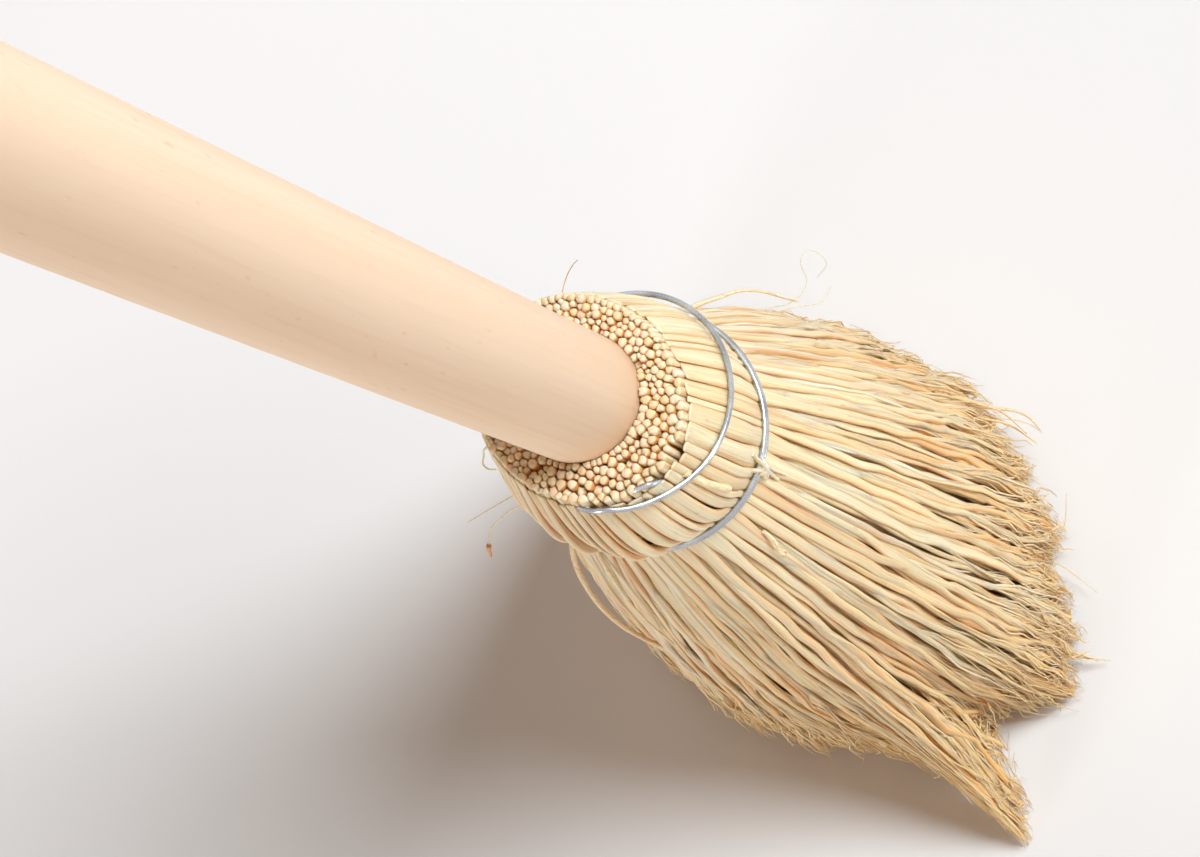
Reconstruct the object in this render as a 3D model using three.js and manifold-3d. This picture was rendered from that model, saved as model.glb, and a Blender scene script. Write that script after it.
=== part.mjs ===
// A small round broom. A turned stick is bound into a head of straw by two steel wires.
// Three layers of stalk bunches lie round the stick with their cut ends level at the rim.
// They swell over a shoulder, are pinched at the waist, and flare down to ragged tips.
// Millimetres, +Z up the stick. The broom stands on its tips at z = 0, and X is its wide side.

import * as THREE from "three";
import { mergeVertices } from "three/addons/utils/BufferGeometryUtils.js";
import Module from "manifold-3d";

// Fits: between pieces that touch on the real broom, and between one bunch of straw and the next
const fitGap = 0.3;
const bunchGap = 0.4;

// Stick
const stickDiameter = 25;
const stickAboveRim = 510;
const stickInHead = 62;
const stickDomeHeight = 9;
const stickTopFlat = 11;
const stickNoseLength = 9;
const stickNoseDiameter = 17;
const stickSides = 28;
const domeSteps = 3;

// Head of straw: half sizes on the wide side and the deep side, and drops below the cut ends.
// A lean is how far the middle of the head lies off the stick's line there.
const headLength = 190;
const rimHalfWide = 21.9;
const rimHalfDeep = 19.1;
const shoulderHalfWide = 25.6;
const shoulderHalfDeep = 24.4;
const shoulderLeanWide = 2.4;
const shoulderLeanDeep = -0.6;
const shoulderDrop = 24;
const waistHalfWide = 24.9;
const waistHalfDeep = 23.6;
const waistLeanWide = -0.4;
const waistLeanDeep = -0.4;
const waistDrop = 42;
const tipHalfWide = 62;
const tipHalfDeep = 48;
const tipLeanWide = 4.5;
const tipLeanDeep = -6;
const coreRadius = 3;
const stalkTwistAngle = THREE.MathUtils.degToRad(5);
const flarePower = 1.5;

// Where the stalks are given a section, as shares of the stretch between the named drops
const lipShares = [0, 0.2, 0.55, 1];
const flareShares = [0.26, 0.6];
const splitShare = 0.67;

// Bunches: how many in each of the three layers, from the stick outwards
// The groove is the dip between two stalks, and the rag shares are how much of its free tip
// each stalk in turn falls short of the floor
const stalksPerBunch = 3;
const innerBunchCount = 10;
const middleBunchCount = 12;
const outerBunchCount = 16;
const layerShares = { inner: [0, 0.33], middle: [0.33, 0.66], outer: [0.66, 1] };
const crownShares = { inner: [0.5], middle: [0.5], outer: [0.28, 0.72] };
const fingerRowCounts = { inner: 1, middle: 1, outer: 2 };
const grooveDepth = 0.75;
const tipNarrowShare = 0.35;
const tipRagShares = [0, 0.3, 0.1, 0.45, 0, 0.2, 0.6];

// Binding wires
const wireDiameter = 1.2;
const wireSides = 6;
const stepsPerTurn = 36;
const outerWrapCount = 3;
const innerTurnCount = 2;
const climbStartAngle = THREE.MathUtils.degToRad(215);
const climbEndAngle = THREE.MathUtils.degToRad(-45);
const tuckEndAngle = THREE.MathUtils.degToRad(-62);
const tuckDrop = 0.5;
const probeShare = 0.03;

// Nails that hold the wires to the stick
const nailShank = 1.6;
const nailHead = 4;
const nailHeadThickness = 0.7;
const nailPoint = 2.4;
const outerNailLength = 20;
const innerNailLength = 12;
const nailSides = 10;

// Worked out from the sizes above
const stickRadius = stickDiameter / 2;
const wireRadius = wireDiameter / 2;
const wirePitch = wireDiameter + fitGap;
const fullTurn = 2 * Math.PI;
const seamAngle = -Math.PI / 2;
const outerStart = seamAngle + nailHead / 2 / waistHalfDeep + outerWrapCount * fullTurn;
const outerTurns = (outerStart - climbStartAngle) / fullTurn;
const bandHalf = (outerTurns * wirePitch) / 2 + wireRadius + fitGap;
const bandTop = waistDrop - bandHalf;
const bandBottom = waistDrop + bandHalf;
const nailDrop = bandBottom + nailShank / 2;
const slopeProbe = fitGap * probeShare;

const between = (from, to, share) => from + (to - from) * share;
const splitDrop = between(stickInHead, headLength, splitShare);

const wasm = await Module();
wasm.setup();

// A size of the head at a drop, from its values at the rim, the shoulder, the waist and the tips
function alongHead(drop, rim, shoulder, waist, tips) {
  if (drop <= shoulderDrop) {
    const rise = Math.max(drop, 0) / shoulderDrop;
    return between(rim, shoulder, Math.sin((rise * Math.PI) / 2));
  }
  if (drop <= bandTop) return between(shoulder, waist, (drop - shoulderDrop) / (bandTop - shoulderDrop));
  const flare = Math.max(drop - bandBottom, 0) / (headLength - bandBottom);
  return between(waist, tips, 1 - (1 - flare) ** flarePower);
}

// Half sizes of the head at a drop below the cut ends
function skinAt(drop) {
  return {
    wide: alongHead(drop, rimHalfWide, shoulderHalfWide, waistHalfWide, tipHalfWide),
    deep: alongHead(drop, rimHalfDeep, shoulderHalfDeep, waistHalfDeep, tipHalfDeep),
  };
}

// How far the middle of the skin lies off the stick's line at a drop
function leanAt(drop) {
  return {
    wide: alongHead(drop, 0, shoulderLeanWide, waistLeanWide, tipLeanWide),
    deep: alongHead(drop, 0, shoulderLeanDeep, waistLeanDeep, tipLeanDeep),
  };
}

// Radius round the stick's line inside which there is no straw: the stick with its gap, then a
// narrow core below it
function coreAt(drop) {
  const seat = stickRadius + fitGap;
  const shut = between(stickInHead, headLength, flareShares[0]);
  const share = THREE.MathUtils.clamp((drop - stickInHead) / (shut - stickInHead), 0, 1);
  return between(seat, coreRadius, share);
}

// A point of the head: angle round the stick, share of the way from the core to the skin, drop
function headPoint(angle, share, drop) {
  const skin = skinAt(drop);
  const core = coreAt(drop);
  const lean = leanAt(drop);
  const turned = angle + stalkTwistAngle * Math.max(drop - bandBottom, 0) / (headLength - bandBottom);
  const x = between(core, skin.wide, share) * Math.cos(turned) + lean.wide * share;
  const y = between(core, skin.deep, share) * Math.sin(turned) + lean.deep * share;
  return new THREE.Vector3(x, y, headLength - drop);
}

// Distance that one radian round the head covers there
function arcPerRadian(angle, share, drop) {
  const skin = skinAt(drop);
  const core = coreAt(drop);
  const acrossX = between(core, skin.wide, share) * Math.sin(angle);
  const acrossY = between(core, skin.deep, share) * Math.cos(angle);
  return Math.hypot(acrossX, acrossY);
}

// Drops at which every stalk is given a section, from the cut ends to where the tips part
function sectionDrops() {
  const lip = lipShares.map((share) => shoulderDrop * share);
  const flare = flareShares.map((share) => between(stickInHead, headLength, share));
  return [...lip, bandTop, bandBottom, stickInHead, ...flare, splitDrop];
}

// Share of the ring, between core and skin, that a distance covers at a place
function ringShare(distance, angle, drop) {
  return distance / headPoint(angle, 0, drop).distanceTo(headPoint(angle, 1, drop));
}

// Inner and outer share of a layer at a place, with the groove that the inner wire lies in
function layerAt(layer, angle, drop) {
  const [low, high] = layerShares[layer];
  const half = ringShare(bunchGap / 2, angle, drop);
  const inBand = drop >= bandTop && drop <= bandBottom;
  const groove = inBand ? ringShare(wireRadius + fitGap, angle, drop) : half;
  return {
    low: low + (low === 0 ? 0 : layer === "middle" ? groove : half),
    high: high - (high === 1 ? 0 : layer === "inner" ? groove : half),
  };
}

// Outline of some of a bunch's stalks at a drop: a rounded crown for each stalk on the outer
// side, and a straight edge for each on the inner side. Across counts in stalks, from 0.
function outline(bunch, drop, fromStalk, toStalk, narrow) {
  const middle = (fromStalk + toStalk) / 2;
  const place = (across, isOuter, isCrown) => {
    const drawnIn = middle + (across - middle) * (1 - narrow);
    const share = drawnIn / stalksPerBunch;
    const angle = bunch.start + bunch.span * share;
    const span = layerAt(bunch.layer, angle, drop);
    const notch = ringShare(grooveDepth, angle, drop);
    const depth = span.high - span.low;
    const level = isOuter ? span.high - (isCrown ? 0 : notch) : span.low + narrow * depth;
    const side = (1 - 2 * share) * (bunchGap / 2 / arcPerRadian(angle, level, drop));
    return headPoint(angle + side, level, drop);
  };
  const points = [];
  for (let stalk = fromStalk; stalk < toStalk; stalk++) {
    points.push(place(stalk, true, false));
    for (const crown of crownShares[bunch.layer]) points.push(place(stalk + crown, true, true));
  }
  points.push(place(toStalk, true, false));
  for (let stalk = toStalk; stalk >= fromStalk; stalk--) points.push(place(stalk, false, false));
  return points;
}

// A closed skin over rings of points, grown one ring at a time
class Loft {
  constructor() {
    this.points = [];
    this.faces = [];
  }

  add(ring) {
    const first = this.points.length;
    this.points.push(...ring);
    return ring.map((_, index) => first + index);
  }

  wall(upper, lower) {
    upper.forEach((corner, index) => {
      const next = (index + 1) % upper.length;
      this.faces.push(lower[index], lower[next], upper[next]);
      this.faces.push(lower[index], upper[next], corner);
    });
  }

  cap(ring, facesUp) {
    const flat = ring.map((index) => new THREE.Vector2(this.points[index].x, this.points[index].y));
    for (const [a, b, c] of THREE.ShapeUtils.triangulateShape(flat, [])) {
      const face = facesUp ? [a, b, c] : [c, b, a];
      this.faces.push(...face.map((corner) => ring[corner]));
    }
  }

  geometry() {
    const geometry = new THREE.BufferGeometry().setFromPoints(this.points);
    geometry.setIndex(this.faces);
    return geometry;
  }
}

// One bunch: stalks pressed together from the cut ends down, parting into a tip for each stalk
function bunchGeometry(bunch) {
  const loft = new Loft();
  const drops = sectionDrops();
  let ring = loft.add(outline(bunch, drops[0], 0, stalksPerBunch, 0));
  loft.cap(ring, true);
  for (const drop of drops.slice(1)) {
    const next = loft.add(outline(bunch, drop, 0, stalksPerBunch, 0));
    loft.wall(ring, next);
    ring = next;
  }
  const perStalk = crownShares[bunch.layer].length + 1;
  const outerCount = stalksPerBunch * perStalk + 1;
  for (let stalk = 0; stalk < stalksPerBunch; stalk++) {
    const outer = ring.slice(stalk * perStalk, (stalk + 1) * perStalk + 1);
    const innerFrom = outerCount + stalksPerBunch - stalk - 1;
    addTip(loft, bunch, stalk, [...outer, ...ring.slice(innerFrom, innerFrom + 2)]);
  }
  return loft.geometry();
}

// The free end of one stalk, drawn in towards its own middle and cut at its own length
function addTip(loft, bunch, stalk, root) {
  const rows = fingerRowCounts[bunch.layer];
  const rag = tipRagShares[(bunch.index * stalksPerBunch + stalk) % tipRagShares.length];
  const endDrop = between(headLength, splitDrop, rag);
  let ring = root;
  for (let row = 1; row <= rows; row++) {
    const share = row / rows;
    const drop = between(splitDrop, endDrop, share);
    const next = loft.add(outline(bunch, drop, stalk, stalk + 1, tipNarrowShare * share));
    loft.wall(ring, next);
    ring = next;
  }
  loft.cap(ring, false);
}

function toSolid(geometry) {
  const { index, attributes } = geometry;
  const mesh = new wasm.Mesh({
    numProp: 3,
    vertProperties: new Float32Array(attributes.position.array),
    triVerts: new Uint32Array(index.array),
  });
  return new wasm.Manifold(mesh);
}

function toGeometry(solid) {
  const { vertProperties, triVerts } = solid.getMesh();
  const geometry = new THREE.BufferGeometry();
  geometry.setAttribute("position", new THREE.BufferAttribute(vertProperties, 3));
  geometry.setIndex(new THREE.BufferAttribute(triVerts, 1));
  return geometry;
}

// A round solid from a profile of (radius, height) points, standing on +Z
function turned(profile, sides) {
  const geometry = new THREE.LatheGeometry(profile, sides);
  geometry.rotateX(Math.PI / 2);
  geometry.deleteAttribute("normal");
  geometry.deleteAttribute("uv");
  return mergeVertices(geometry);
}

function stickGeometry() {
  const length = stickInHead + stickAboveRim;
  const profile = new THREE.Path();
  profile.moveTo(0, 0);
  profile.lineTo(stickNoseDiameter / 2, 0);
  profile.lineTo(stickRadius, stickNoseLength);
  profile.lineTo(stickRadius, length - stickDomeHeight);
  const domeReach = (stickDiameter - stickTopFlat) / 2;
  const quarter = Math.PI / 2;
  profile.absellipse(stickTopFlat / 2, length - stickDomeHeight, domeReach, stickDomeHeight, 0, quarter);
  profile.lineTo(0, length);
  return turned(profile.getPoints(domeSteps), stickSides);
}

// A nail with its point down and the underside of its head at height 0, grown by a margin
function nailGeometry(length, margin) {
  const shank = nailShank / 2 + margin;
  const head = nailHead / 2 + margin;
  const profile = new THREE.Path();
  profile.moveTo(0, -length - margin);
  profile.lineTo(shank, -length + nailPoint);
  profile.lineTo(shank, -margin);
  profile.lineTo(head, -margin);
  profile.lineTo(head, nailHeadThickness + margin);
  profile.lineTo(0, nailHeadThickness + margin);
  return turned(profile.getPoints(), nailSides);
}

// The nails drive straight in from the deep sides, each just below the wire that it holds
function nailPlaces() {
  const innerCentre = headPoint(-seamAngle, layerShares.inner[1], waistDrop).y;
  const innerDrop = waistDrop + (innerTurnCount * wirePitch + wireDiameter + nailShank) / 2 + fitGap;
  return {
    outer_wire_nail: {
      length: outerNailLength,
      y: headPoint(seamAngle, 1, waistDrop).y - wireDiameter - 2 * fitGap,
      drop: nailDrop,
      tilt: Math.PI / 2,
    },
    inner_wire_nail: {
      length: innerNailLength,
      y: innerCentre + wireRadius + fitGap,
      drop: innerDrop,
      tilt: -Math.PI / 2,
    },
  };
}

function nailClearance({ length, y, drop, tilt }) {
  const geometry = nailGeometry(length, fitGap);
  geometry.rotateX(tilt);
  geometry.translate(0, y, headLength - drop);
  geometry.computeBoundingBox();
  return geometry;
}

// Takes the room of every nail that reaches a piece out of that piece
function withNailHoles(geometry, clearances) {
  geometry.computeBoundingBox();
  const reached = clearances.filter((room) => room.boundingBox.intersectsBox(geometry.boundingBox));
  if (reached.length === 0) return geometry;
  return toGeometry(reached.reduce((solid, room) => solid.subtract(toSolid(room)), toSolid(geometry)));
}

// Where the middle of the outer wire lies: outwards from the skin, square to it
function onSkin(angle, drop) {
  const at = headPoint(angle, 1, drop);
  const round = headPoint(angle + slopeProbe / stickRadius, 1, drop).sub(at);
  const down = headPoint(angle, 1, drop + slopeProbe).sub(at);
  const outwards = down.cross(round).normalize();
  return at.addScaledVector(outwards, wireRadius + fitGap);
}

// The outer wire: wraps at the waist from its nail up, then one climb over the shoulder to the rim
class OuterWireRun extends THREE.Curve {
  getPoint(share, target = new THREE.Vector3()) {
    const angle = between(outerStart, tuckEndAngle, share);
    const wound = Math.min((outerStart - angle) / fullTurn, outerTurns);
    const climb = (climbStartAngle - angle) / (climbStartAngle - climbEndAngle);
    const climbed = THREE.MathUtils.clamp(climb, 0, 1);
    const waistRise = (wound - outerTurns / 2) * wirePitch;
    return target.copy(onSkin(angle, between(waistDrop - waistRise, tuckDrop, climbed)));
  }
}

// The inner wire: plain wraps at the waist, in the groove between the inner and middle layers
class InnerWireRun extends THREE.Curve {
  getPoint(share, target = new THREE.Vector3()) {
    const angle = -seamAngle + nailHead / 2 / stickRadius - fullTurn * innerTurnCount * share;
    const drop = waistDrop + (1 / 2 - share) * innerTurnCount * wirePitch;
    return target.copy(headPoint(angle, layerShares.inner[1], drop));
  }
}

function wireGeometry(run, turns) {
  const section = new THREE.Shape();
  section.absarc(0, 0, wireRadius, 0, fullTurn);
  const round = new THREE.Shape(section.getSpacedPoints(wireSides).slice(0, -1));
  const steps = Math.round(turns * stepsPerTurn);
  return new THREE.ExtrudeGeometry(round, { steps, extrudePath: run, bevelEnabled: false });
}

function named(name, geometry, color, roughness, metalness = 0) {
  const mesh = new THREE.Mesh(geometry, new THREE.MeshStandardMaterial({ color, roughness, metalness }));
  mesh.name = name;
  return mesh;
}

function stick(clearances) {
  const geometry = stickGeometry();
  geometry.translate(0, 0, headLength - stickInHead);
  return named("handle", withNailHoles(geometry, clearances), 0xeed6b4, 0.55);
}

function nail(name, place) {
  const mesh = named(name, nailGeometry(place.length, 0), 0x8c8f92, 0.4, 1);
  mesh.position.set(0, place.y, headLength - place.drop);
  mesh.rotation.x = place.tilt;
  return mesh;
}

function bunchLayer(layer, count, color, clearances) {
  const ring = new THREE.Group();
  for (let index = 0; index < count; index++) {
    const span = fullTurn / count;
    const bunch = { layer, index, span, start: seamAngle + span * index };
    const name = `${layer}_straw_${String(index + 1).padStart(2, "0")}`;
    ring.add(named(name, withNailHoles(bunchGeometry(bunch), clearances), color, 0.8));
  }
  return ring;
}

function wires() {
  const pair = new THREE.Group();
  const outerSpan = (outerStart - tuckEndAngle) / fullTurn;
  pair.add(named("outer_binding_wire", wireGeometry(new OuterWireRun(), outerSpan), 0xb9bdc2, 0.3, 1));
  pair.add(named("inner_binding_wire", wireGeometry(new InnerWireRun(), innerTurnCount), 0xb9bdc2, 0.3, 1));
  return pair;
}

const places = nailPlaces();
const clearances = Object.values(places).map(nailClearance);

const broom = new THREE.Group();
broom.add(stick(clearances), wires());
for (const [name, place] of Object.entries(places)) broom.add(nail(name, place));
broom.add(bunchLayer("inner", innerBunchCount, 0xd9be86, clearances));
broom.add(bunchLayer("middle", middleBunchCount, 0xdfc68f, clearances));
broom.add(bunchLayer("outer", outerBunchCount, 0xe8d3a2, clearances));
broom.position.set(-tipLeanWide, -tipLeanDeep, 0);

export default broom;
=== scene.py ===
"""Looks of a small round straw broom: wooden stick, head of straw, binding wires and nails.

Lengths are in metres, in the part's own frame: +Z up the stick, with the tips on the floor.
"""

import logging
import math
from collections.abc import Callable
from dataclasses import dataclass, field
from enum import Enum

import bpy
import numpy as np
from mathutils import Matrix, Vector


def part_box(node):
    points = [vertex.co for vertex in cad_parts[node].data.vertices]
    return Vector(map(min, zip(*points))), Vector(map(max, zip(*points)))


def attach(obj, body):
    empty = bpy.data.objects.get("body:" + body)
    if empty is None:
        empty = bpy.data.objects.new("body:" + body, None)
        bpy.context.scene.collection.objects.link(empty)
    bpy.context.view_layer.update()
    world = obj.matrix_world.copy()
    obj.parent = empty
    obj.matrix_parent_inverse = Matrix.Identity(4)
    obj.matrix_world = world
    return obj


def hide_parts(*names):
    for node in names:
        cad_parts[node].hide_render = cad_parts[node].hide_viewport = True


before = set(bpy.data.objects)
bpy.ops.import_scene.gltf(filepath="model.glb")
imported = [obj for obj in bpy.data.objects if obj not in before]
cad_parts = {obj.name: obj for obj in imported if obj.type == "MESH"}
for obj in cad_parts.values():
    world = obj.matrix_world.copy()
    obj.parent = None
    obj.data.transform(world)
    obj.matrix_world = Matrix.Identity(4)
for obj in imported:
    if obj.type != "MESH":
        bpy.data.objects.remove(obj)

Colour = tuple[int, int, int]
Span = tuple[float, ...]
Socket = bpy.types.NodeSocket
Source = Socket | float | tuple[float, ...]

MM = 0.001
FULL_TURN = 2 * math.pi
QUARTER_TURN = math.pi / 2
SEED = 11
BODY = "root"
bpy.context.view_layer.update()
FLOOR_GAP = 0.2 * MM

logging.basicConfig(level=logging.INFO, format="%(message)s")
log = logging.getLogger("broom")


class Slot(Enum):
    """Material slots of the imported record."""

    WOOD = "handle_wood"
    OUTER_STRAW = "outer_straw"
    INNER_STRAW = "inner_straw"
    WIRE = "galvanised_wire"
    NAIL = "nail_steel"


class Layer(Enum):
    """The three layers of straw, with their bunches and their share of the way to the skin."""

    INNER = ("inner", 10, 0.33)
    MIDDLE = ("middle", 12, 0.66)
    OUTER = ("outer", 16, 1.0)

    def __init__(self, label: str, bunches: int, high: float) -> None:
        """Keeps the layer's values under plain names."""
        self.label = label
        self.bunches = bunches
        self.high = high

    def node(self, index: int) -> str:
        """Name of one bunch's node in the frame."""
        return f"{self.label}_straw_{index + 1:02d}"


# Numbers


def tint(colour: Colour) -> tuple[float, float, float, float]:
    """Turns a colour as a screen shows it into the linear colour that a shader takes.

    Args:
        colour: Red, green and blue, 0 to 255.

    Returns:
        Linear red, green, blue and an alpha of 1.
    """
    parts = [channel / 255 for channel in colour]
    linear = [p / 12.92 if p <= 0.04045 else ((p + 0.055) / 1.055) ** 2.4 for p in parts]
    return (*linear, 1.0)


def smooth_step(value: np.ndarray) -> np.ndarray:
    """Eases a share from 0 to 1."""
    share = np.clip(value, 0.0, 1.0)
    return share * share * (3 - 2 * share)


def fade(value: np.ndarray, start: float, end: float) -> np.ndarray:
    """Eases from 0 at one value to 1 at another."""
    return smooth_step((value - start) / (end - start))


def hump(value: np.ndarray, middle: float, width: float) -> np.ndarray:
    """Rises to 1 at a value and falls off on both sides."""
    return np.exp(-(((value - middle) / width) ** 2))


def wrapped(angle: np.ndarray) -> np.ndarray:
    """Brings an angle to between minus and plus half a turn."""
    return (angle + math.pi) % FULL_TURN - math.pi


def unit(rows: np.ndarray) -> np.ndarray:
    """Scales each row to a length of 1."""
    return rows / np.linalg.norm(rows, axis=1, keepdims=True)


def ring_of(angle: np.ndarray) -> np.ndarray:
    """X and Y on a circle of radius 1."""
    return np.column_stack((np.cos(angle), np.sin(angle)))


def direction(azimuth: float, elevation: float) -> Vector:
    """Unit vector towards an azimuth and an elevation."""
    level = math.cos(elevation)
    return Vector((level * math.cos(azimuth), level * math.sin(azimuth), math.sin(elevation)))


# Work on meshes


def clear_selection() -> None:
    """Leaves edit mode and deselects every object."""
    if bpy.context.object and bpy.context.object.mode != "OBJECT":
        bpy.ops.object.mode_set(mode="OBJECT")
    bpy.ops.object.select_all(action="DESELECT")


def make_active(piece: bpy.types.Object) -> None:
    """Selects one object alone and makes it the active one."""
    clear_selection()
    piece.select_set(True)
    bpy.context.view_layer.objects.active = piece


def link(name: str, data: bpy.types.ID) -> bpy.types.Object:
    """Puts data into the scene as an object."""
    made = bpy.data.objects.new(name, data)
    bpy.context.collection.objects.link(made)
    return made


def join(name: str, pieces: list[bpy.types.Object]) -> bpy.types.Object:
    """Joins pieces into the first of them, and names it."""
    make_active(pieces[0])
    for piece in pieces:
        piece.select_set(True)
    bpy.ops.object.join()
    pieces[0].name = name
    return pieces[0]


def points_of(mesh: bpy.types.Mesh) -> np.ndarray:
    """Reads the places of a mesh's points, one row for each."""
    flat = np.zeros(len(mesh.vertices) * 3, np.float32)
    mesh.vertices.foreach_get("co", flat)
    return flat.reshape(-1, 3)


def edit_faces(piece: bpy.types.Object, wanted: Callable[[bpy.types.MeshPolygon], bool]) -> None:
    """Enters edit mode with some faces selected.

    Args:
        piece: The mesh object to edit.
        wanted: A test that takes a face and says whether to select it.
    """
    make_active(piece)
    bpy.ops.object.mode_set(mode="EDIT")
    bpy.ops.mesh.select_mode(type="FACE")
    bpy.ops.mesh.select_all(action="DESELECT")
    bpy.ops.object.mode_set(mode="OBJECT")
    for face in piece.data.polygons:
        face.select = wanted(face)
    bpy.ops.object.mode_set(mode="EDIT")


def start_disc(name: str, sides: int, radius: float, place: tuple[float, float, float]) -> bpy.types.Object:
    """Adds a filled circle and enters edit mode with its face selected, ready to extrude.

    Args:
        name: The object's name.
        sides: How many corners the circle has.
        radius: Its radius.
        place: Its middle.

    Returns:
        The disc, in edit mode.
    """
    clear_selection()
    bpy.ops.mesh.primitive_circle_add(vertices=sides, radius=radius, fill_type="NGON", location=place)
    disc = bpy.context.object
    disc.name = name
    bpy.ops.object.mode_set(mode="EDIT")
    bpy.ops.mesh.select_mode(type="FACE")
    bpy.ops.mesh.select_all(action="SELECT")
    return disc


def extrude(height: float, scale: float = 1.0, centre: tuple[float, float] | None = None) -> None:
    """Extrudes the selected end along Z and scales it.

    Args:
        height: How far the end moves up.
        scale: The new end's size as a share of the old one's.
        centre: The line to scale about, or none for the end's own middle.
    """
    bpy.ops.mesh.extrude_region_move(TRANSFORM_OT_translate={"value": (0.0, 0.0, height)})
    about = {"center_override": (*centre, 0.0)} if centre else {}
    bpy.ops.transform.resize(value=(scale, scale, 1.0), **about)


def outward_faces(piece: bpy.types.Object) -> None:
    """Turns every face of a closed mesh outwards and returns to object mode."""
    make_active(piece)
    bpy.ops.object.mode_set(mode="EDIT")
    bpy.ops.mesh.select_all(action="SELECT")
    bpy.ops.mesh.normals_make_consistent(inside=False)
    bpy.ops.object.mode_set(mode="OBJECT")


def smoothed(piece: bpy.types.Object, angle: float) -> None:
    """Moves a piece's place into its mesh and shades it smooth up to an angle in degrees."""
    make_active(piece)
    bpy.ops.object.transform_apply(location=True, rotation=True, scale=True)
    bpy.ops.object.shade_smooth_by_angle(angle=math.radians(angle))


def tube(name: str, places: np.ndarray, radii: np.ndarray, section: int, steps: int = 0) -> bpy.types.Object:
    """Models a round tube with closed ends along some places.

    Args:
        name: The object's name.
        places: One row of X, Y and Z for each place.
        radii: The tube's radius at each place.
        section: How finely its section is divided.
        steps: How finely it is rounded from place to place, or 0 for straight stretches.

    Returns:
        The mesh object.
    """
    curve = bpy.data.curves.new(name, "CURVE")
    curve.dimensions = "3D"
    curve.bevel_depth = MM
    curve.bevel_resolution = section
    curve.use_fill_caps = True
    spline = curve.splines.new("BEZIER" if steps else "POLY")
    if steps:
        curve.resolution_u = steps
    knots = spline.bezier_points if steps else spline.points
    knots.add(len(places) - 1)
    for knot, place, radius in zip(knots, places, radii):
        knot.co = place if steps else (*place, 1.0)
        knot.radius = radius / MM
        if steps:
            knot.handle_left_type = knot.handle_right_type = "AUTO"
    make_active(link(name, curve))
    bpy.ops.object.convert(target="MESH")
    return bpy.context.object


def settle(piece: bpy.types.Object, slot: Slot, material: bpy.types.Material, *nodes: str) -> None:
    """Dresses a finished piece and ties it to the frame.

    Args:
        piece: The finished mesh object.
        slot: The record's slot of the piece; not used.
        material: The material of the whole piece.
        nodes: The frame's nodes that it stands for.
    """
    piece.data.materials.clear()
    piece.data.materials.append(material)
    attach(piece, BODY)
    if nodes:
        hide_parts(*nodes)
    log.info("%s: %d faces", piece.name, len(piece.data.polygons))


# Finishes


@dataclass(frozen=True)
class Noise:
    """Noise over a coordinate: its scale, its squeeze along Z, its detail and its roughness."""

    scale: float
    squeeze: float = 1.0
    detail: float = 2.0
    rough: float = 0.5


class Nodes:
    """A tree of shader nodes under construction, with a short call for each kind that it needs."""

    def __init__(self, tree: bpy.types.NodeTree) -> None:
        """Starts with a tree that may hold some nodes already."""
        self.tree = tree

    def feed(self, target: Socket, value: Source) -> None:
        """Links a socket to a target socket, or sets the target's own value."""
        if isinstance(value, Socket):
            self.tree.links.new(value, target)
        else:
            target.default_value = value

    def make(self, kind: str, output: str | int, inputs: dict[str | int, Source], **settings: str) -> Socket:
        """Adds a node.

        Args:
            kind: The node's type, without its prefix.
            output: The output that is wanted, by name or number.
            inputs: What feeds its inputs, by name or number.
            settings: Its plain properties.

        Returns:
            The output's socket.
        """
        made = self.tree.nodes.new(f"ShaderNode{kind}")
        for name, value in settings.items():
            setattr(made, name, value)
        for name, value in inputs.items():
            self.feed(made.inputs[name], value)
        return made.outputs[output]

    def place(self) -> Socket:
        """Object coordinates."""
        return self.make("TexCoord", "Object", {})

    def attribute(self, name: str, output: str = "Fac") -> Socket:
        """One of the mesh's own attributes."""
        return self.make("Attribute", output, {}, attribute_name=name)

    def noise(self, vector: Socket, kind: Noise) -> Socket:
        """Noise between 0 and 1 over a coordinate."""
        squeezed = self.make("Mapping", "Vector", {"Vector": vector, "Scale": (1.0, 1.0, kind.squeeze)})
        values = {"Vector": squeezed, "Scale": kind.scale, "Detail": kind.detail, "Roughness": kind.rough}
        return self.make("TexNoise", "Fac", values)

    def ramp(self, share: Socket, stops: list[tuple[float, tuple]]) -> Socket:
        """Colours along a share, from (place, colour) stops."""
        colour = self.make("ValToRGB", "Color", {"Fac": share})
        elements = colour.node.color_ramp.elements
        while len(elements) < len(stops):
            elements.new(0.5)
        for element, stop in zip(elements, stops):
            element.position, element.color = stop
        return colour

    def span(self, value: Socket, low: float, high: float, start: float = 0.0, end: float = 1.0) -> Socket:
        """Maps a value from one range to another, and holds it there."""
        limits = {"From Min": low, "From Max": high, "To Min": start, "To Max": end}
        return self.make("MapRange", "Result", {"Value": value, **limits})

    def blend(self, share: Source, first: Source, second: Source, kind: str = "MIX") -> Socket:
        """Mixes two colours."""
        values = {0: share, 6: first, 7: second}
        return self.make("Mix", 2, values, data_type="RGBA", blend_type=kind)

    def shade(self, colour: Source, amount: Socket) -> Socket:
        """Multiplies a colour by a grey amount."""
        grey = self.make("CombineColor", "Color", {0: amount, 1: amount, 2: amount})
        return self.blend(1.0, colour, grey, "MULTIPLY")

    def combine(self, operation: str, first: Socket, second: Socket) -> Socket:
        """Combines two numbers."""
        return self.make("Math", "Value", {0: first, 1: second}, operation=operation)


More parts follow.
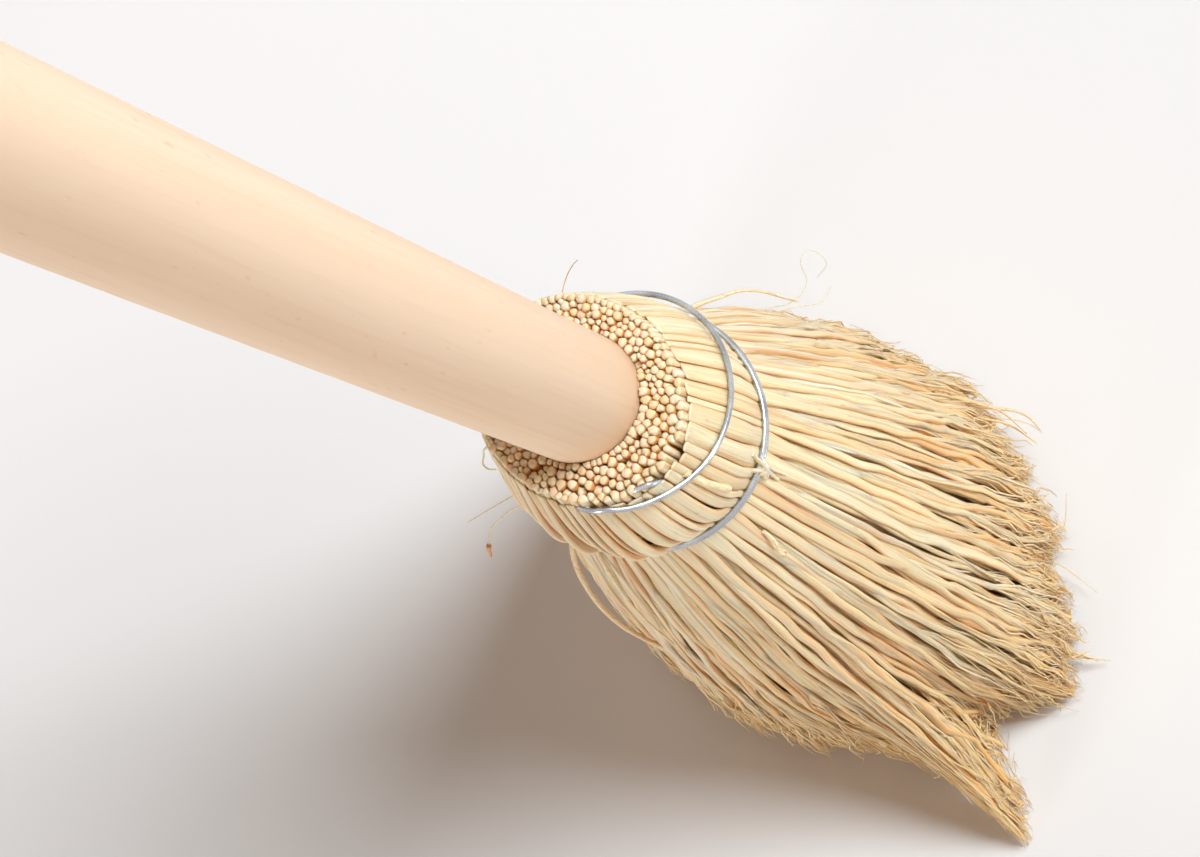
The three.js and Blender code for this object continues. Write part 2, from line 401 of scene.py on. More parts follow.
class Shader(Nodes):
    """A material under construction."""

    def __init__(self, name: str) -> None:
        """Starts a material that holds one plain surface shader."""
        self.material = bpy.data.materials.new(name)
        self.material.use_nodes = True
        super().__init__(self.material.node_tree)
        self.surface = self.tree.nodes["Principled BSDF"]

    def finished(self, values: dict[str, Source], height: Socket, depth: float) -> bpy.types.Material:
        """Feeds the surface its values, and a bump of some depth from a height between 0 and 1."""
        bump = self.make("Bump", "Normal", {"Height": height, "Distance": depth, "Strength": 1.0})
        for name, value in {**values, "Normal": bump}.items():
            self.feed(self.surface.inputs[name], value)
        return self.material


@dataclass(frozen=True)
class StrawFinish:
    """Dried straw: pale stalks, each of its own tone, with fine lines, golden tips and painted shade in
    grooves, creases and at the stalks' flanks.

    A span maps a range of noise or of an attribute to a range of strength.
    """

    name: str
    tones: tuple[Colour, ...]
    tip: Colour = (248, 200, 142)
    deep_tip: Colour = (255, 208, 136)
    # Painted shade: an orange for the flanks of each stalk, where it meets its neighbours.
    edge: Colour = (238, 168, 94)
    # Painted shade: a warm brown for the grooves of the fine lines.
    groove_shade: Colour = (232, 186, 124)
    # Painted shade: a darker brown for creases.
    crease_shade: Colour = (198, 124, 62)
    blush: Colour = (252, 220, 180)
    fleck: Colour = (198, 136, 80)
    pith: Colour = (246, 232, 202)
    pith_warm: Colour = (242, 218, 174)
    pith_pink: Colour = (252, 214, 186)
    pith_spot: Colour = (228, 182, 124)
    glow: float = 0.4
    glow_reach: tuple[float, float, float] = (1.0, 0.62, 0.3)
    glow_scale: float = 1.4 * MM
    relief_depth: float = 0.14 * MM
    line_noise: Noise = Noise(2400.0, 0.012, 5.0, 0.65)
    crease_shade_noise: Noise = Noise(840.0, 0.02)
    patch_noise: Noise = Noise(210.0, 0.2)
    fleck_noise: Noise = Noise(546.0, 0.3, 3.0)
    speck_noise: Noise = Noise(1500.0, detail=3.0)
    # Painted shade and painted highlight: the grooves' brown, then darker grooves and lighter ridges.
    groove_shade_span: Span = (0.36, 0.56, 0.4, 0.0)
    line_shade_and_highlight: Span = (0.5, 0.66, 0.95, 1.04)
    crease_shade_span: Span = (0.31, 0.42, 0.45, 0.0)
    cut_span: Span = (0.4, 0.75)
    rough_span: Span = (0.3, 0.7, 0.66, 0.46)
    blush_span: Span = (0.52, 0.74, 0.0, 0.6)
    age_span: Span = (0.3, 1.05)
    patchy_age: Span = (0.25, 0.6, 0.7, 1.0)
    # Painted shade at the stalks' flanks.
    flank_shade_span: Span = (0.5, 1.0, 0.0, 0.55)
    fleck_span: Span = (0.66, 0.78, 0.0, 0.5)
    speck_span: Span = (0.54, 0.76, 0.0, 0.5)
    golden_stops: Span = (0.0, 0.4, 0.8)
    pith_stops: Span = (0.0, 0.4, 0.7, 0.92, 0.97)

    def build(self) -> bpy.types.Material:
        """Builds the straw's material from the attributes that each stalk carries."""
        s = Shader(self.name)
        grain = s.attribute("grain", "Vector")
        lines = s.noise(grain, self.line_noise)
        crease_shade_mask = s.noise(grain, self.crease_shade_noise)
        # Painted shade: the grooves of the fine lines turn warm brown and darker, and their ridges a little
        # lighter, a painted highlight.
        colour = s.blend(s.span(lines, *self.groove_shade_span), self.skin_colour(s, grain), tint(self.groove_shade))
        colour = s.shade(colour, s.span(lines, *self.line_shade_and_highlight))
        # Painted shade: creases drawn by noise turn dark brown.
        colour = s.blend(s.span(crease_shade_mask, *self.crease_shade_span), colour, tint(self.crease_shade))
        colour = s.blend(s.span(s.attribute("cut"), *self.cut_span), colour, self.pith_colour(s))
        values = {
            "Base Color": colour, "Roughness": s.span(lines, *self.rough_span),
            "Subsurface Weight": self.glow, "Subsurface Radius": self.glow_reach,
            "Subsurface Scale": self.glow_scale,
        }
        return s.finished(values, lines, self.relief_depth)

    def skin_colour(self, s: Shader, grain: Socket) -> Socket:
        """Colour of the stalks' skin: tone, blush, golden ends, painted shade at each stalk's flanks and
        brown flecks.

        Args:
            s: The material under construction.
            grain: The coordinate that runs along each stalk.

        Returns:
            The colour, before the fine lines.
        """
        last = len(self.tones) - 1
        colour = s.ramp(s.attribute("tone"), [(i / last, tint(tone)) for i, tone in enumerate(self.tones)])
        patch = s.noise(grain, self.patch_noise)
        colour = s.blend(s.span(patch, *self.blush_span), colour, tint(self.blush))
        aged = s.span(s.attribute("age"), *self.age_span)
        aged = s.combine("MULTIPLY", aged, s.span(patch, *self.patchy_age))
        ends = (self.tip, self.tip, self.deep_tip)
        golden = s.ramp(aged, [(stop, tint(end)) for stop, end in zip(self.golden_stops, ends)])
        colour = s.blend(aged, colour, golden)
        # Painted shade: each stalk's flanks turn orange, standing in for the shade between neighbouring
        # stalks.
        colour = s.blend(s.span(s.attribute("side"), *self.flank_shade_span), colour, tint(self.edge))
        flecks = s.span(s.noise(grain, self.fleck_noise), *self.fleck_span)
        return s.blend(flecks, colour, tint(self.fleck))

    def pith_colour(self, s: Shader) -> Socket:
        """Colour of the cut ends: cream pith, some of it warmer, with fine brown spots."""
        piths = (self.pith, self.pith, self.pith_warm, self.pith, self.pith_pink)
        stops = [(stop, tint(pith)) for stop, pith in zip(self.pith_stops, piths)]
        specks = s.span(s.noise(s.place(), self.speck_noise), *self.speck_span)
        return s.blend(specks, s.ramp(s.attribute("tone"), stops), tint(self.pith_spot))


@dataclass(frozen=True)
class WoodFinish:
    """Bare pale wood, sanded, with faint grain down the stick and a few small pink flecks."""

    name: str = "bare_wood"
    pale: Colour = (240, 216, 189)
    warm: Colour = (236, 207, 177)
    line: Colour = (227, 193, 160)
    fleck: Colour = (226, 178, 148)
    gloss: float = 0.25
    relief_depth: float = 0.03 * MM
    broad_noise: Noise = Noise(80.0, 0.05)
    fine_noise: Noise = Noise(900.0, 0.025, 4.0)
    cloud_noise: Noise = Noise(60.0, 0.5)
    pore_noise: Noise = Noise(640.0, 0.3, 1.0)
    warm_span: Span = (0.35, 0.65)
    line_span: Span = (0.5, 0.8, 0.0, 0.3)
    pore_span: Span = (0.68, 0.78, 0.0, 0.6)
    cloud_span: Span = (0.48, 0.6)
    rough_span: Span = (0.3, 0.7, 0.52, 0.62)

    def build(self) -> bpy.types.Material:
        """Builds the wood's material, with the grain along the stick."""
        s = Shader(self.name)
        place = s.place()
        broad, fine = s.noise(place, self.broad_noise), s.noise(place, self.fine_noise)
        colour = s.blend(s.span(broad, *self.warm_span), tint(self.pale), tint(self.warm))
        colour = s.blend(s.span(fine, *self.line_span), colour, tint(self.line))
        clouds = s.span(s.noise(place, self.cloud_noise), *self.cloud_span)
        pores = s.span(s.noise(place, self.pore_noise), *self.pore_span)
        colour = s.blend(s.combine("MULTIPLY", pores, clouds), colour, tint(self.fleck))
        rough = s.span(fine, *self.rough_span)
        values = {"Base Color": colour, "Roughness": rough, "Specular IOR Level": self.gloss}
        return s.finished(values, fine, self.relief_depth)


@dataclass(frozen=True)
class SteelFinish:
    """Drawn steel wire or nail, with faint drawing lines and a little dulled zinc."""

    name: str
    bright: Colour = (204, 206, 210)
    dull: Colour = (160, 164, 171)
    relief_depth: float = 0.006 * MM
    cloud_noise: Noise = Noise(160.0)
    line_noise: Noise = Noise(2400.0, 3.0)
    dull_span: Span = (0.35, 0.7)
    rough_span: Span = (0.3, 0.7, 0.2, 0.3)

    def build(self) -> bpy.types.Material:
        """Builds the metal's material."""
        s = Shader(self.name)
        clouds = s.span(s.noise(s.place(), self.cloud_noise), *self.dull_span)
        lines = s.noise(s.place(), self.line_noise)
        colour = s.blend(clouds, tint(self.bright), tint(self.dull))
        values = {"Base Color": colour, "Roughness": s.span(lines, *self.rough_span), "Metallic": 1.0}
        return s.finished(values, lines, self.relief_depth)


# Form of the head


@dataclass(frozen=True)
class Foot:
    """Outline of the tips: how far they reach at each angle, and the tuft that sticks out."""

    reach: tuple[tuple[float, float], ...] = (
        (-180, 0.99), (-120, 1.0), (-75, 0.98), (-55, 0.97), (-44, 0.98), (-38, 1.12), (-33, 1.3),
        (-29, 1.42), (-25, 1.22), (-21, 0.99), (-13, 1.02), (0, 1.05), (8, 1.03), (18, 0.98), (30, 0.91),
        (50, 0.90), (70, 0.95), (95, 0.98), (130, 1.0), (180, 0.99),
    )
    reach_power: float = 3.0
    tuft_angle: float = math.radians(-29)
    tuft_middle: float = math.radians(-37)
    tuft_width: float = math.radians(11)
    tuft_pull: float = 0.78
    tuft_start: float = 0.42
    uneven: tuple[Span, ...] = ((0.02, 9.0, 1.0), (0.017, 17.0, 2.4), (0.012, 31.0, 0.6))

    def drawn(self, angle: np.ndarray, free: np.ndarray) -> np.ndarray:
        """Draws the angles near the tuft together, more and more towards the tips."""
        near = hump(wrapped(angle), self.tuft_middle, self.tuft_width)
        pull = self.tuft_pull * near * fade(free, self.tuft_start, 1.0)
        return angle + (self.tuft_angle - wrapped(angle)) * pull

    def factor(self, angle: np.ndarray, free: np.ndarray) -> np.ndarray:
        """Reach at an angle, as a share of the plain outline's."""
        degrees, reach = np.array(self.reach).T
        share = np.interp(np.degrees(wrapped(angle)), degrees, reach) - 1
        for size, count, start in self.uneven:
            share = share + size * np.sin(count * angle + start)
        return 1 + share * free**self.reach_power


@dataclass(frozen=True)
class HeadShape:
    """Skin and core of the straw head, at drops below the plane of the cut ends."""

    axis: tuple[float, float]
    length: float
    stick_radius: float
    stick_in_head: float
    tips: tuple[float, float]
    tips_lean: tuple[float, float]
    rim: tuple[float, float] = (21.9 * MM, 19.1 * MM)
    rim_lean: tuple[float, float] = (0.0, 0.0)
    shoulder: tuple[float, float] = (25.6 * MM, 24.4 * MM)
    shoulder_lean: tuple[float, float] = (2.4 * MM, -0.6 * MM)
    shoulder_drop: float = 24.0 * MM
    waist: tuple[float, float] = (24.9 * MM, 23.6 * MM)
    waist_lean: tuple[float, float] = (-0.4 * MM, -0.4 * MM)
    waist_drop: float = 42.0 * MM
    band_half: float = 2.525 * MM
    seat_gap: float = 0.3 * MM
    core_radius: float = 3.0 * MM
    core_shut_share: float = 0.26
    least_share: float = 0.02
    flare_power: float = 1.5
    twist: float = math.radians(5.0)
    widest: float = 75.5 * MM
    slat_angle: float = math.radians(-82)
    slat_width: float = math.radians(54)
    belly_drop: float = 41.5 * MM
    belly_power: float = 1.8
    rim_swell: float = 1.1 * MM
    rim_swell_angle: float = math.radians(-18)
    rim_swell_width: float = math.radians(48)
    rim_swell_drop: float = 6.0 * MM
    foot: Foot = Foot()

    @classmethod
    def from_frame(cls) -> "HeadShape":
        """Reads the sizes that the frame's nodes hold."""
        stick_low, stick_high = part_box("handle")
        rim_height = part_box("outer_straw_01")[1].z
        centre = (stick_low + stick_high) / 2
        straw = [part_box(name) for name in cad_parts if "_straw_" in name]
        low = [min(box[0][i] for box in straw) for i in (0, 1)]
        high = [max(box[1][i] for box in straw) for i in (0, 1)]
        tips = tuple((high[i] - low[i]) / 2 for i in (0, 1))
        lean = tuple((high[i] + low[i]) / 2 - centre[i] for i in (0, 1))
        radius = (stick_high.x - stick_low.x) / 2
        return cls((centre.x, centre.y), rim_height, radius, rim_height - stick_low.z, tips, lean)

    @property
    def band_bottom(self) -> float:
        """Drop at which the straw leaves the binding and begins to flare."""
        return self.waist_drop + self.band_half

    def along(self, drop: np.ndarray, rim: Span, shoulder: Span, waist: Span, tips: Span) -> np.ndarray:
        """Carries a pair of values from the rim over shoulder and waist to the tips.

        Args:
            drop: Drops below the cut ends.
            rim: The pair at the cut ends.
            shoulder: The pair at the shoulder.
            waist: The pair at the binding.
            tips: The pair at the tips.

        Returns:
            One row of two values for each drop.
        """
        drop = np.atleast_1d(np.asarray(drop, float))[:, None]
        rim, shoulder, waist, tips = map(np.array, (rim, shoulder, waist, tips))
        rise = np.clip(drop / self.shoulder_drop, 0, 1)
        upper = rim + (shoulder - rim) * np.sin(rise * QUARTER_TURN)
        band_top = self.waist_drop - self.band_half
        fall = np.clip((drop - self.shoulder_drop) / (band_top - self.shoulder_drop), 0, 1)
        middle = shoulder + (waist - shoulder) * fall
        lower = waist + (tips - waist) * (1 - (1 - self.free(drop)) ** self.flare_power)
        return np.where(drop <= self.shoulder_drop, upper, np.where(drop <= self.band_bottom, middle, lower))

    def half(self, drop: np.ndarray) -> np.ndarray:
        """Half sizes of the head along X and Y at each drop."""
        return self.along(drop, self.rim, self.shoulder, self.waist, self.tips)

    def lean(self, drop: np.ndarray) -> np.ndarray:
        """How far the middle of the head lies off the stick's line at each drop."""
        return self.along(drop, self.rim_lean, self.shoulder_lean, self.waist_lean, self.tips_lean)

    def free(self, drop: np.ndarray) -> np.ndarray:
        """Share of the way from the binding to the tips."""
        return np.clip((np.asarray(drop) - self.band_bottom) / (self.length - self.band_bottom), 0, 1)

    def slatted(self, angle: float) -> float:
        """How much the straw over the shoulder stands apart in slats at an angle, 0 to 1."""
        return float(hump(wrapped(angle - self.slat_angle), 0.0, self.slat_width))

    def belly(self, drop: np.ndarray) -> np.ndarray:
        """A rise and fall between the cut ends and the binding, fullest above its middle."""
        return np.sin(np.clip(np.asarray(drop) / self.belly_drop, 0, 1) ** self.belly_power * math.pi)

    def core(self, drop: np.ndarray) -> np.ndarray:
        """Radius inside which there is no straw."""
        seat = self.stick_radius + self.seat_gap
        shut = (self.length - self.stick_in_head) * self.core_shut_share
        share = np.clip((np.asarray(drop) - self.stick_in_head) / shut, 0, 1)
        return seat + (self.core_radius - seat) * share

    def edge(self, angle: np.ndarray, drop: np.ndarray) -> np.ndarray:
        """X and Y of the skin off the stick's line."""
        free = self.free(drop)
        turned = self.foot.drawn(angle + self.twist * free, free)
        swell = self.rim_swell * hump(wrapped(turned), self.rim_swell_angle, self.rim_swell_width)
        swell *= smooth_step(1 - np.asarray(drop) / self.rim_swell_drop)
        half = self.half(drop) + swell[:, None]
        return (half * ring_of(turned) + self.lean(drop)) * self.foot.factor(turned, free)[:, None]

    def reach(self, angle: np.ndarray, drop: np.ndarray) -> np.ndarray:
        """Distance from the stick's line to the skin at an angle."""
        return np.linalg.norm(self.edge(angle, drop), axis=1)

    def stretch(self, angle: np.ndarray, drop: np.ndarray) -> np.ndarray:
        """Length of skin round the head for each unit of angle."""
        wide, deep = self.half(drop).T
        return np.hypot(wide * np.sin(angle), deep * np.cos(angle))

    def outward(self, angle: np.ndarray, drop: np.ndarray) -> np.ndarray:
        """Level directions square to the skin, pointing out."""
        wide, deep = self.half(drop).T
        turned = angle + self.twist * self.free(drop)
        return unit(np.column_stack((deep * np.cos(turned), wide * np.sin(turned), np.zeros(len(wide)))))

    def points(self, angle: np.ndarray, depth: np.ndarray, drop: np.ndarray) -> np.ndarray:
        """Places in the head.

        Args:
            angle: Angles round the stick.
            depth: Depths below the skin, towards the core.
            drop: Drops below the cut ends.

        Returns:
            One row of X, Y and Z for each place.
        """
        drop = np.atleast_1d(np.asarray(drop, float))
        edge = self.edge(angle, drop)
        share = np.clip(1 - depth / np.linalg.norm(edge, axis=1), self.least_share, None)
        flat = np.array(self.axis) + edge * share[:, None]
        return np.column_stack((flat, self.length - drop))


# Straight stalks, and how they are bent into the head


@dataclass(frozen=True)
class StalkModel:
    """A straight stalk modelled once: unit radius, one unit of length from ring to ring.

    Insets crown its cut end: how far each lies inside the last, and its rise. Its point is the
    size of its last ring, as a share of the full radius.
    """

    name: str
    sides: int
    rings: int
    insets: tuple[tuple[float, float], ...] = ((0.3, 0.35),)
    point: float = 0.6

    def build(self) -> bpy.types.Mesh:
        """Models the stalk by extrusion from its cut end down, and crowns the cut end."""
        stalk = start_disc(self.name, self.sides, 1.0, (0.0, 0.0, 0.0))
        for ring in range(1, self.rings):
            extrude(-1.0, self.point if ring == self.rings - 1 else 1.0)
        edit_faces(stalk, lambda face: face.center.z > -0.5)
        for thickness, rise in self.insets:
            bpy.ops.mesh.inset(thickness=thickness, depth=0.0)
            bpy.ops.transform.translate(value=(0.0, 0.0, rise))
        outward_faces(stalk)
        mesh = stalk.data
        bpy.data.objects.remove(stalk)
        return mesh


@dataclass
class Lie:
    """How one stalk lies in the head, ring by ring, and how thick it is there."""

    drops: np.ndarray
    angles: np.ndarray
    depths: np.ndarray
    half_widths: np.ndarray
    half_depths: np.ndarray
    rolls: np.ndarray
    tone: float
    age: np.ndarray
    pressed: np.ndarray | None = None
    fold: float = 0.0
    fold_turn: float = 0.0
    cut_tone: float = 1.0


@dataclass
class Bender:
    """Makes bent copies of a straight stalk.

    Its fullness makes up for what a later subdivision takes off, and a power under 1 makes its
    round section squarer. Folds are grooves along a stalk: their counts round it, each one's
    share, and how they turn on their way down.
    """

    shape: HeadShape
    mesh: bpy.types.Mesh
    fullness: float = 1.0
    power: float = 1.0
    fold_counts: tuple[int, int] = (3, 2)
    fold_shares: tuple[float, float] = (0.6, 0.4)
    fold_offset: float = 1.0
    fold_twist: float = 14.0
    fold_start: float = 0.6
    fold_rise: float = 5.0
    tone_step: tuple[float, float] = (7.3, 3.1)

    def __post_init__(self) -> None:
        """Reads the straight stalk's points once, for all its copies."""
        self.local = points_of(self.mesh).astype(float)
        self.ring = np.rint(-np.minimum(self.local[:, 2], 0.0)).astype(int)
        self.rise = np.clip(self.local[:, 2], 0.0, None)
        self.way = np.arctan2(self.local[:, 1], self.local[:, 0])

    def blunt(self, share: np.ndarray) -> np.ndarray:
        """Makes a round section squarer."""
        return np.sign(share) * np.abs(share) ** self.power

    def directions(self, points: np.ndarray, lie: Lie) -> tuple[np.ndarray, np.ndarray, np.ndarray]:
        """Sets up the directions across a stalk at each ring.

        Args:
            points: The middle of the stalk at each ring.
            lie: The stalk's lie.

        Returns:
            Unit rows for the way across, the way out and the way down.
        """
        down = unit(np.gradient(points, axis=0))
        out = self.shape.outward(lie.angles, lie.drops)
        out = unit(out - (out * down).sum(1, keepdims=True) * down)
        across = np.cross(down, out)
        cos, sin = np.cos(lie.rolls)[:, None], np.sin(lie.rolls)[:, None]
        return across * cos + out * sin, out * cos - across * sin, down

    def swell(self, lie: Lie) -> np.ndarray:
        """Works out how far each point stands off its round section."""
        drops = lie.drops[self.ring]
        swell = np.full(len(drops), self.fullness)
        if lie.pressed is not None:
            sector = np.linspace(0, FULL_TURN, len(lie.pressed), endpoint=False)
            press = np.interp(self.way % FULL_TURN, sector, lie.pressed, period=FULL_TURN)
            swell *= 1 + (press - 1) * smooth_step(1 - drops / self.shape.shoulder_drop)
        if lie.fold:
            turn = self.way + lie.fold_turn + self.fold_twist * drops
            risen = smooth_step(self.shape.free(drops) * self.fold_rise)
            loose = self.fold_start + (1 - self.fold_start) * risen
            (many, few), (more, less) = self.fold_counts, self.fold_shares
            folds = more * np.cos(many * turn) + less * np.cos(few * turn + self.fold_offset)
            swell *= 1 + lie.fold * loose * folds
        return swell

    def copy(self, lie: Lie) -> bpy.types.Mesh:
        """Bends one copy of the stalk.

        Args:
            lie: The copy's run and thickness.

        Returns:
            The bent mesh, with its tone, its age along the stalk and its own grain.
        """
        points = self.shape.points(lie.angles, lie.depths, lie.drops)
        across, out, down = self.directions(points, lie)
        ring, crowned = self.ring, self.rise > 0
        swell = self.swell(lie)
        wide = self.blunt(self.local[:, 0]) * lie.half_widths[ring] * swell
        deep = self.blunt(self.local[:, 1]) * lie.half_depths[ring] * swell
        lift = self.rise * lie.half_depths[ring]
        placed = points[ring] + across[ring] * wide[:, None] + out[ring] * deep[:, None]
        placed -= down[ring] * lift[:, None]
        placed[:, 2] = np.maximum(placed[:, 2], FLOOR_GAP)
        placed[:, 0] = np.minimum(placed[:, 0], self.shape.widest)
        mesh = self.mesh.copy()
        mesh.vertices.foreach_set("co", placed.astype(np.float32).ravel())
        apart, onward = (lie.tone * step for step in self.tone_step)
        # The mask of the painted shade at the flanks: how far across the stalk each point lies, below its cut
        # end.
        cut, side = crowned * lie.cut_tone, np.abs(self.local[:, 0]) * ~crowned * lie.cut_tone
        store(mesh, tone=lie.tone, age=lie.age[ring], cut=cut, side=side)
        store_grain(mesh, np.column_stack((wide + apart, deep, lie.drops[ring] + onward)))
        return mesh


def store(mesh: bpy.types.Mesh, **attributes: np.ndarray | float) -> None:
    """Stores numbers for each point of a mesh, or one number for all."""
    for name, values in attributes.items():
        spread = np.broadcast_to(values, len(mesh.vertices)).astype(np.float32)
        mesh.attributes.new(name, "FLOAT", "POINT").data.foreach_set("value", spread)


def store_grain(mesh: bpy.types.Mesh, places: np.ndarray) -> None:
    """Stores the place in the straw's grain for each point of a mesh."""
    layer = mesh.attributes.new("grain", "FLOAT_VECTOR", "POINT")
    layer.data.foreach_set("vector", places.astype(np.float32).ravel())


def gather(name: str, meshes: list[bpy.types.Mesh], levels: int) -> bpy.types.Object:
    """Joins bent copies into one piece.

    Args:
        name: The piece's name.
        meshes: The copies.
        levels: How often the joined piece is subdivided.

    Returns:
        The finished object, smooth shaded.
    """
    piece = join(name, [link(name, mesh) for mesh in meshes])
    if levels:
        smooth = piece.modifiers.new("round", "SUBSURF")
        smooth.levels = levels
        smooth.render_levels = levels
        bpy.ops.object.modifier_apply(modifier=smooth.name)
    bpy.ops.object.shade_smooth()
    return piece


WAVE_STRETCH = (0.85, 1.2)
WAVE_FADING = 0.6


def waves(drops: np.ndarray, lengths: Span, rng: np.random.Generator) -> np.ndarray:
    """Adds a few waves of random phase along a stalk, each weaker than the last.

    Args:
        drops: Drops along the stalk.
        lengths: The waves' lengths, in metres.
        rng: The source of chance.

    Returns:
        A height between about -1 and 1 at each drop.
    """
    total = np.zeros(len(drops))
    for order, length in enumerate(lengths):
        stretch = length * rng.uniform(*WAVE_STRETCH)
        wave = np.sin(FULL_TURN * drops / stretch + rng.uniform(0, FULL_TURN))
        total += wave / (1 + WAVE_FADING * order)
    return total / len(lengths)


# The straw head


@dataclass(frozen=True)
class Wander:
    """How one kind of outer stalk leaves its straight run on its way to the tips.

    It sinks and strays by chance, more towards the tips by a power of the way there, and sways
    by slow and quick waves. Its folds are grooves of some depth.
    """

    sink: float
    sink_sway: Span
    stray: float
    stray_power: float
    stray_sway: Span
    fold: Span


def run_down(upper: np.ndarray, lower: float, end: float, rings: int) -> np.ndarray:
    """Drops of a stalk's rings: the upper ones as given, then even steps from one drop to its end."""
    return np.concatenate((upper, np.linspace(lower, end, rings - len(upper))))


def narrowed(free: np.ndarray, share: float, start: float) -> np.ndarray:
    """Falls from 1 by a share, from one point of the way to the tips down to the tips."""
    return 1 - share * fade(free, start, 1.0)


@dataclass
class OuterRow:
    """The outer row of flat stalks, and the loose strands that come out below the binding.

    A range is the least and the most that chance gives. Waves are given by their lengths.
    """

    shape: HeadShape
    rng: np.random.Generator
    per_bunch: int = 3
    slat_extra: int = 1
    stalk_shares: Span = (0.42, 1.6)
    split_chance: float = 0.3
    split_shares: Span = (0.62, 0.5)
    loose_per_bunch: int = 24
    loose_spot: Span = (0.1, 0.9)
    rings: int = 40
    loose_rings: int = 29
    flat_drops: Span = (1.5, 1.9, 2.8, 5.0, 9.5, 14.5, 20.0, 25.5, 31.0, 36.0, 40.0, 43.5, 47.5)
    flat_lower: float = 52.0 * MM
    end_rings: int = 3
    end_spread: float = 0.8 * MM
    end_most: float = 1.9 * MM
    ragged: float = 6.0 * MM
    ragged_most: float = 21.0 * MM
    tip_gap: float = 1.0 * MM
    sweep: float = math.radians(8.0)
    slit_drops: Span = (6.0 * MM, 36.0 * MM)
    slit_length: float = 9.0 * MM
    fill: Span = (0.96, 1.05)
    slat_gap: Span = (0.34, 0.72)
    slit_gap: Span = (0.0, 0.22)
    width: Span = (0.85 * MM, 1.35 * MM)
    width_waves: Span = (0.014, 0.024, 0.05)
    width_sway: float = 0.15
    most_room: float = 1.15
    loosening: Span = (44.0 * MM, 58.0 * MM)
    taper: Span = (0.35, 0.3)
    bulge: Span = (-0.1 * MM, 0.35 * MM)
    slat_bulge: Span = (0.2 * MM, 2.8 * MM)
    end_thickness: float = 0.3 * MM
    end_length: float = 11.0 * MM
    thickness: float = 0.66 * MM
    thickness_range: Span = (0.85, 1.15)
    slat_thickness: float = 0.35 * MM
    sunk_share: float = 1.05
    thin_share: float = 0.4
    wander: Wander = Wander(1.6 * MM, (1.2 * MM, 0.3 * MM), 2.5 * MM, 1.3, (2.8 * MM, 1.0 * MM), (0.1, 0.28))
    end_roll: float = 0.07
    slat_roll: float = 0.4
    tip_roll: float = 0.5
    tip_roll_power: float = 0.7
    roll_sway: float = 0.8
    roll_waves: Span = (0.04, 0.09)
    slow_waves: Span = (0.05, 0.085, 0.13)
    slow_power: float = 0.9
    quick_waves: Span = (0.015, 0.023, 0.033)
    quick_rise: float = 3.0
    sink_power: float = 1.2
    calm: Span = (0.5, 0.6)
    loose_drops: Span = (0.0, 1.0, 4.0, 8.0, 12.0)
    loose_start: float = 36.5 * MM
    loose_start_spread: float = 0.4 * MM
    loose_lower: float = 54.0 * MM
    cover: Span = (0.1, 1.0)
    cover_power: float = 1.2
    loose_cover: float = 4.2 * MM
    loose_depth: float = 2.1 * MM
    loose_rising: Span = (45.0 * MM, 75.0 * MM)
    loose_width: Span = (0.48 * MM, 0.95 * MM)
    loose_width_sway: float = 0.2
    loose_thin: float = 0.55
    loose_widening: Span = (40.0 * MM, 65.0 * MM)
    loose_taper: Span = (0.38, 0.25)
    loose_depth_shares: Span = (0.55, 0.85)
    loose_roll: float = 0.6
    loose_wander: Wander = Wander(
        1.9 * MM, (1.5 * MM, 0.3 * MM), 2.7 * MM, 1.2, (2.6 * MM, 0.8 * MM), (0.04, 0.16)
    )
    youth: float = 0.05
    cover_age: float = 0.36
    age_spread: float = 0.06

    def plan(self, index: int) -> list[Lie]:
        """Plans one bunch: the flat stalks side by side, then the loose strands.

        Args:
            index: The bunch's place in the row.

        Returns:
            The lies of its stalks.
        """
        rng = self.rng
        span = FULL_TURN / Layer.OUTER.bunches
        extra = round(self.slat_extra * self.shape.slatted(-QUARTER_TURN + span * (index + 0.5)))
        shares = list(rng.uniform(*self.stalk_shares, self.per_bunch + extra))
        if rng.random() < self.split_chance:
            pick = int(rng.integers(len(shares)))
            shares[pick:pick + 1] = [shares[pick] * share for share in self.split_shares]
        shares = np.array(shares) / sum(shares)
        starts = np.concatenate(([0.0], np.cumsum(shares)))
        first = -QUARTER_TURN + span * index
        lies = [self.flat(first + span * (a + b / 2), span * b) for a, b in zip(starts, shares)]
        for spot in range(self.loose_per_bunch):
            middle = first + span * (spot + rng.uniform(*self.loose_spot)) / self.loose_per_bunch
            lies.append(self.loose(middle))
        return lies

    def end(self) -> float:
        """Drop of a stalk's tip."""
        return self.shape.length - min(abs(self.rng.normal(0, self.ragged)), self.ragged_most) - self.tip_gap

    def sway(self, drops: np.ndarray, free: np.ndarray, slow: float, quick: float) -> np.ndarray:
        """Slow and quick waves of a loose stalk, in metres."""
        long = waves(drops, self.slow_waves, self.rng) * slow * free**self.slow_power
        return long + waves(drops, self.quick_waves, self.rng) * quick * smooth_step(free * self.quick_rise)

    def strayed(self, drops: np.ndarray, free: np.ndarray, how: Wander) -> tuple[np.ndarray, np.ndarray]:
        """Lets a stalk stray.

        Args:
            drops: Drops along the stalk.
            free: Share of the way to the tips at each drop.
            how: The way in which its kind strays.

        Returns:
            How far it sinks into the head, and how far it strays sideways.
        """
        sink = abs(self.rng.normal(0, how.sink)) * free**self.sink_power
        sink = (sink + self.sway(drops, free, *how.sink_sway)) * narrowed(free, *self.calm)
        stray = self.rng.normal(0, how.stray) * free**how.stray_power
        return sink, stray + self.sway(drops, free, *how.stray_sway)

    def ages(self, drops: np.ndarray, more: float = 0.0) -> np.ndarray:
        """How golden a stalk is at each drop."""
        return drops / self.shape.length - self.youth + more + self.rng.normal(0.0, self.age_spread)

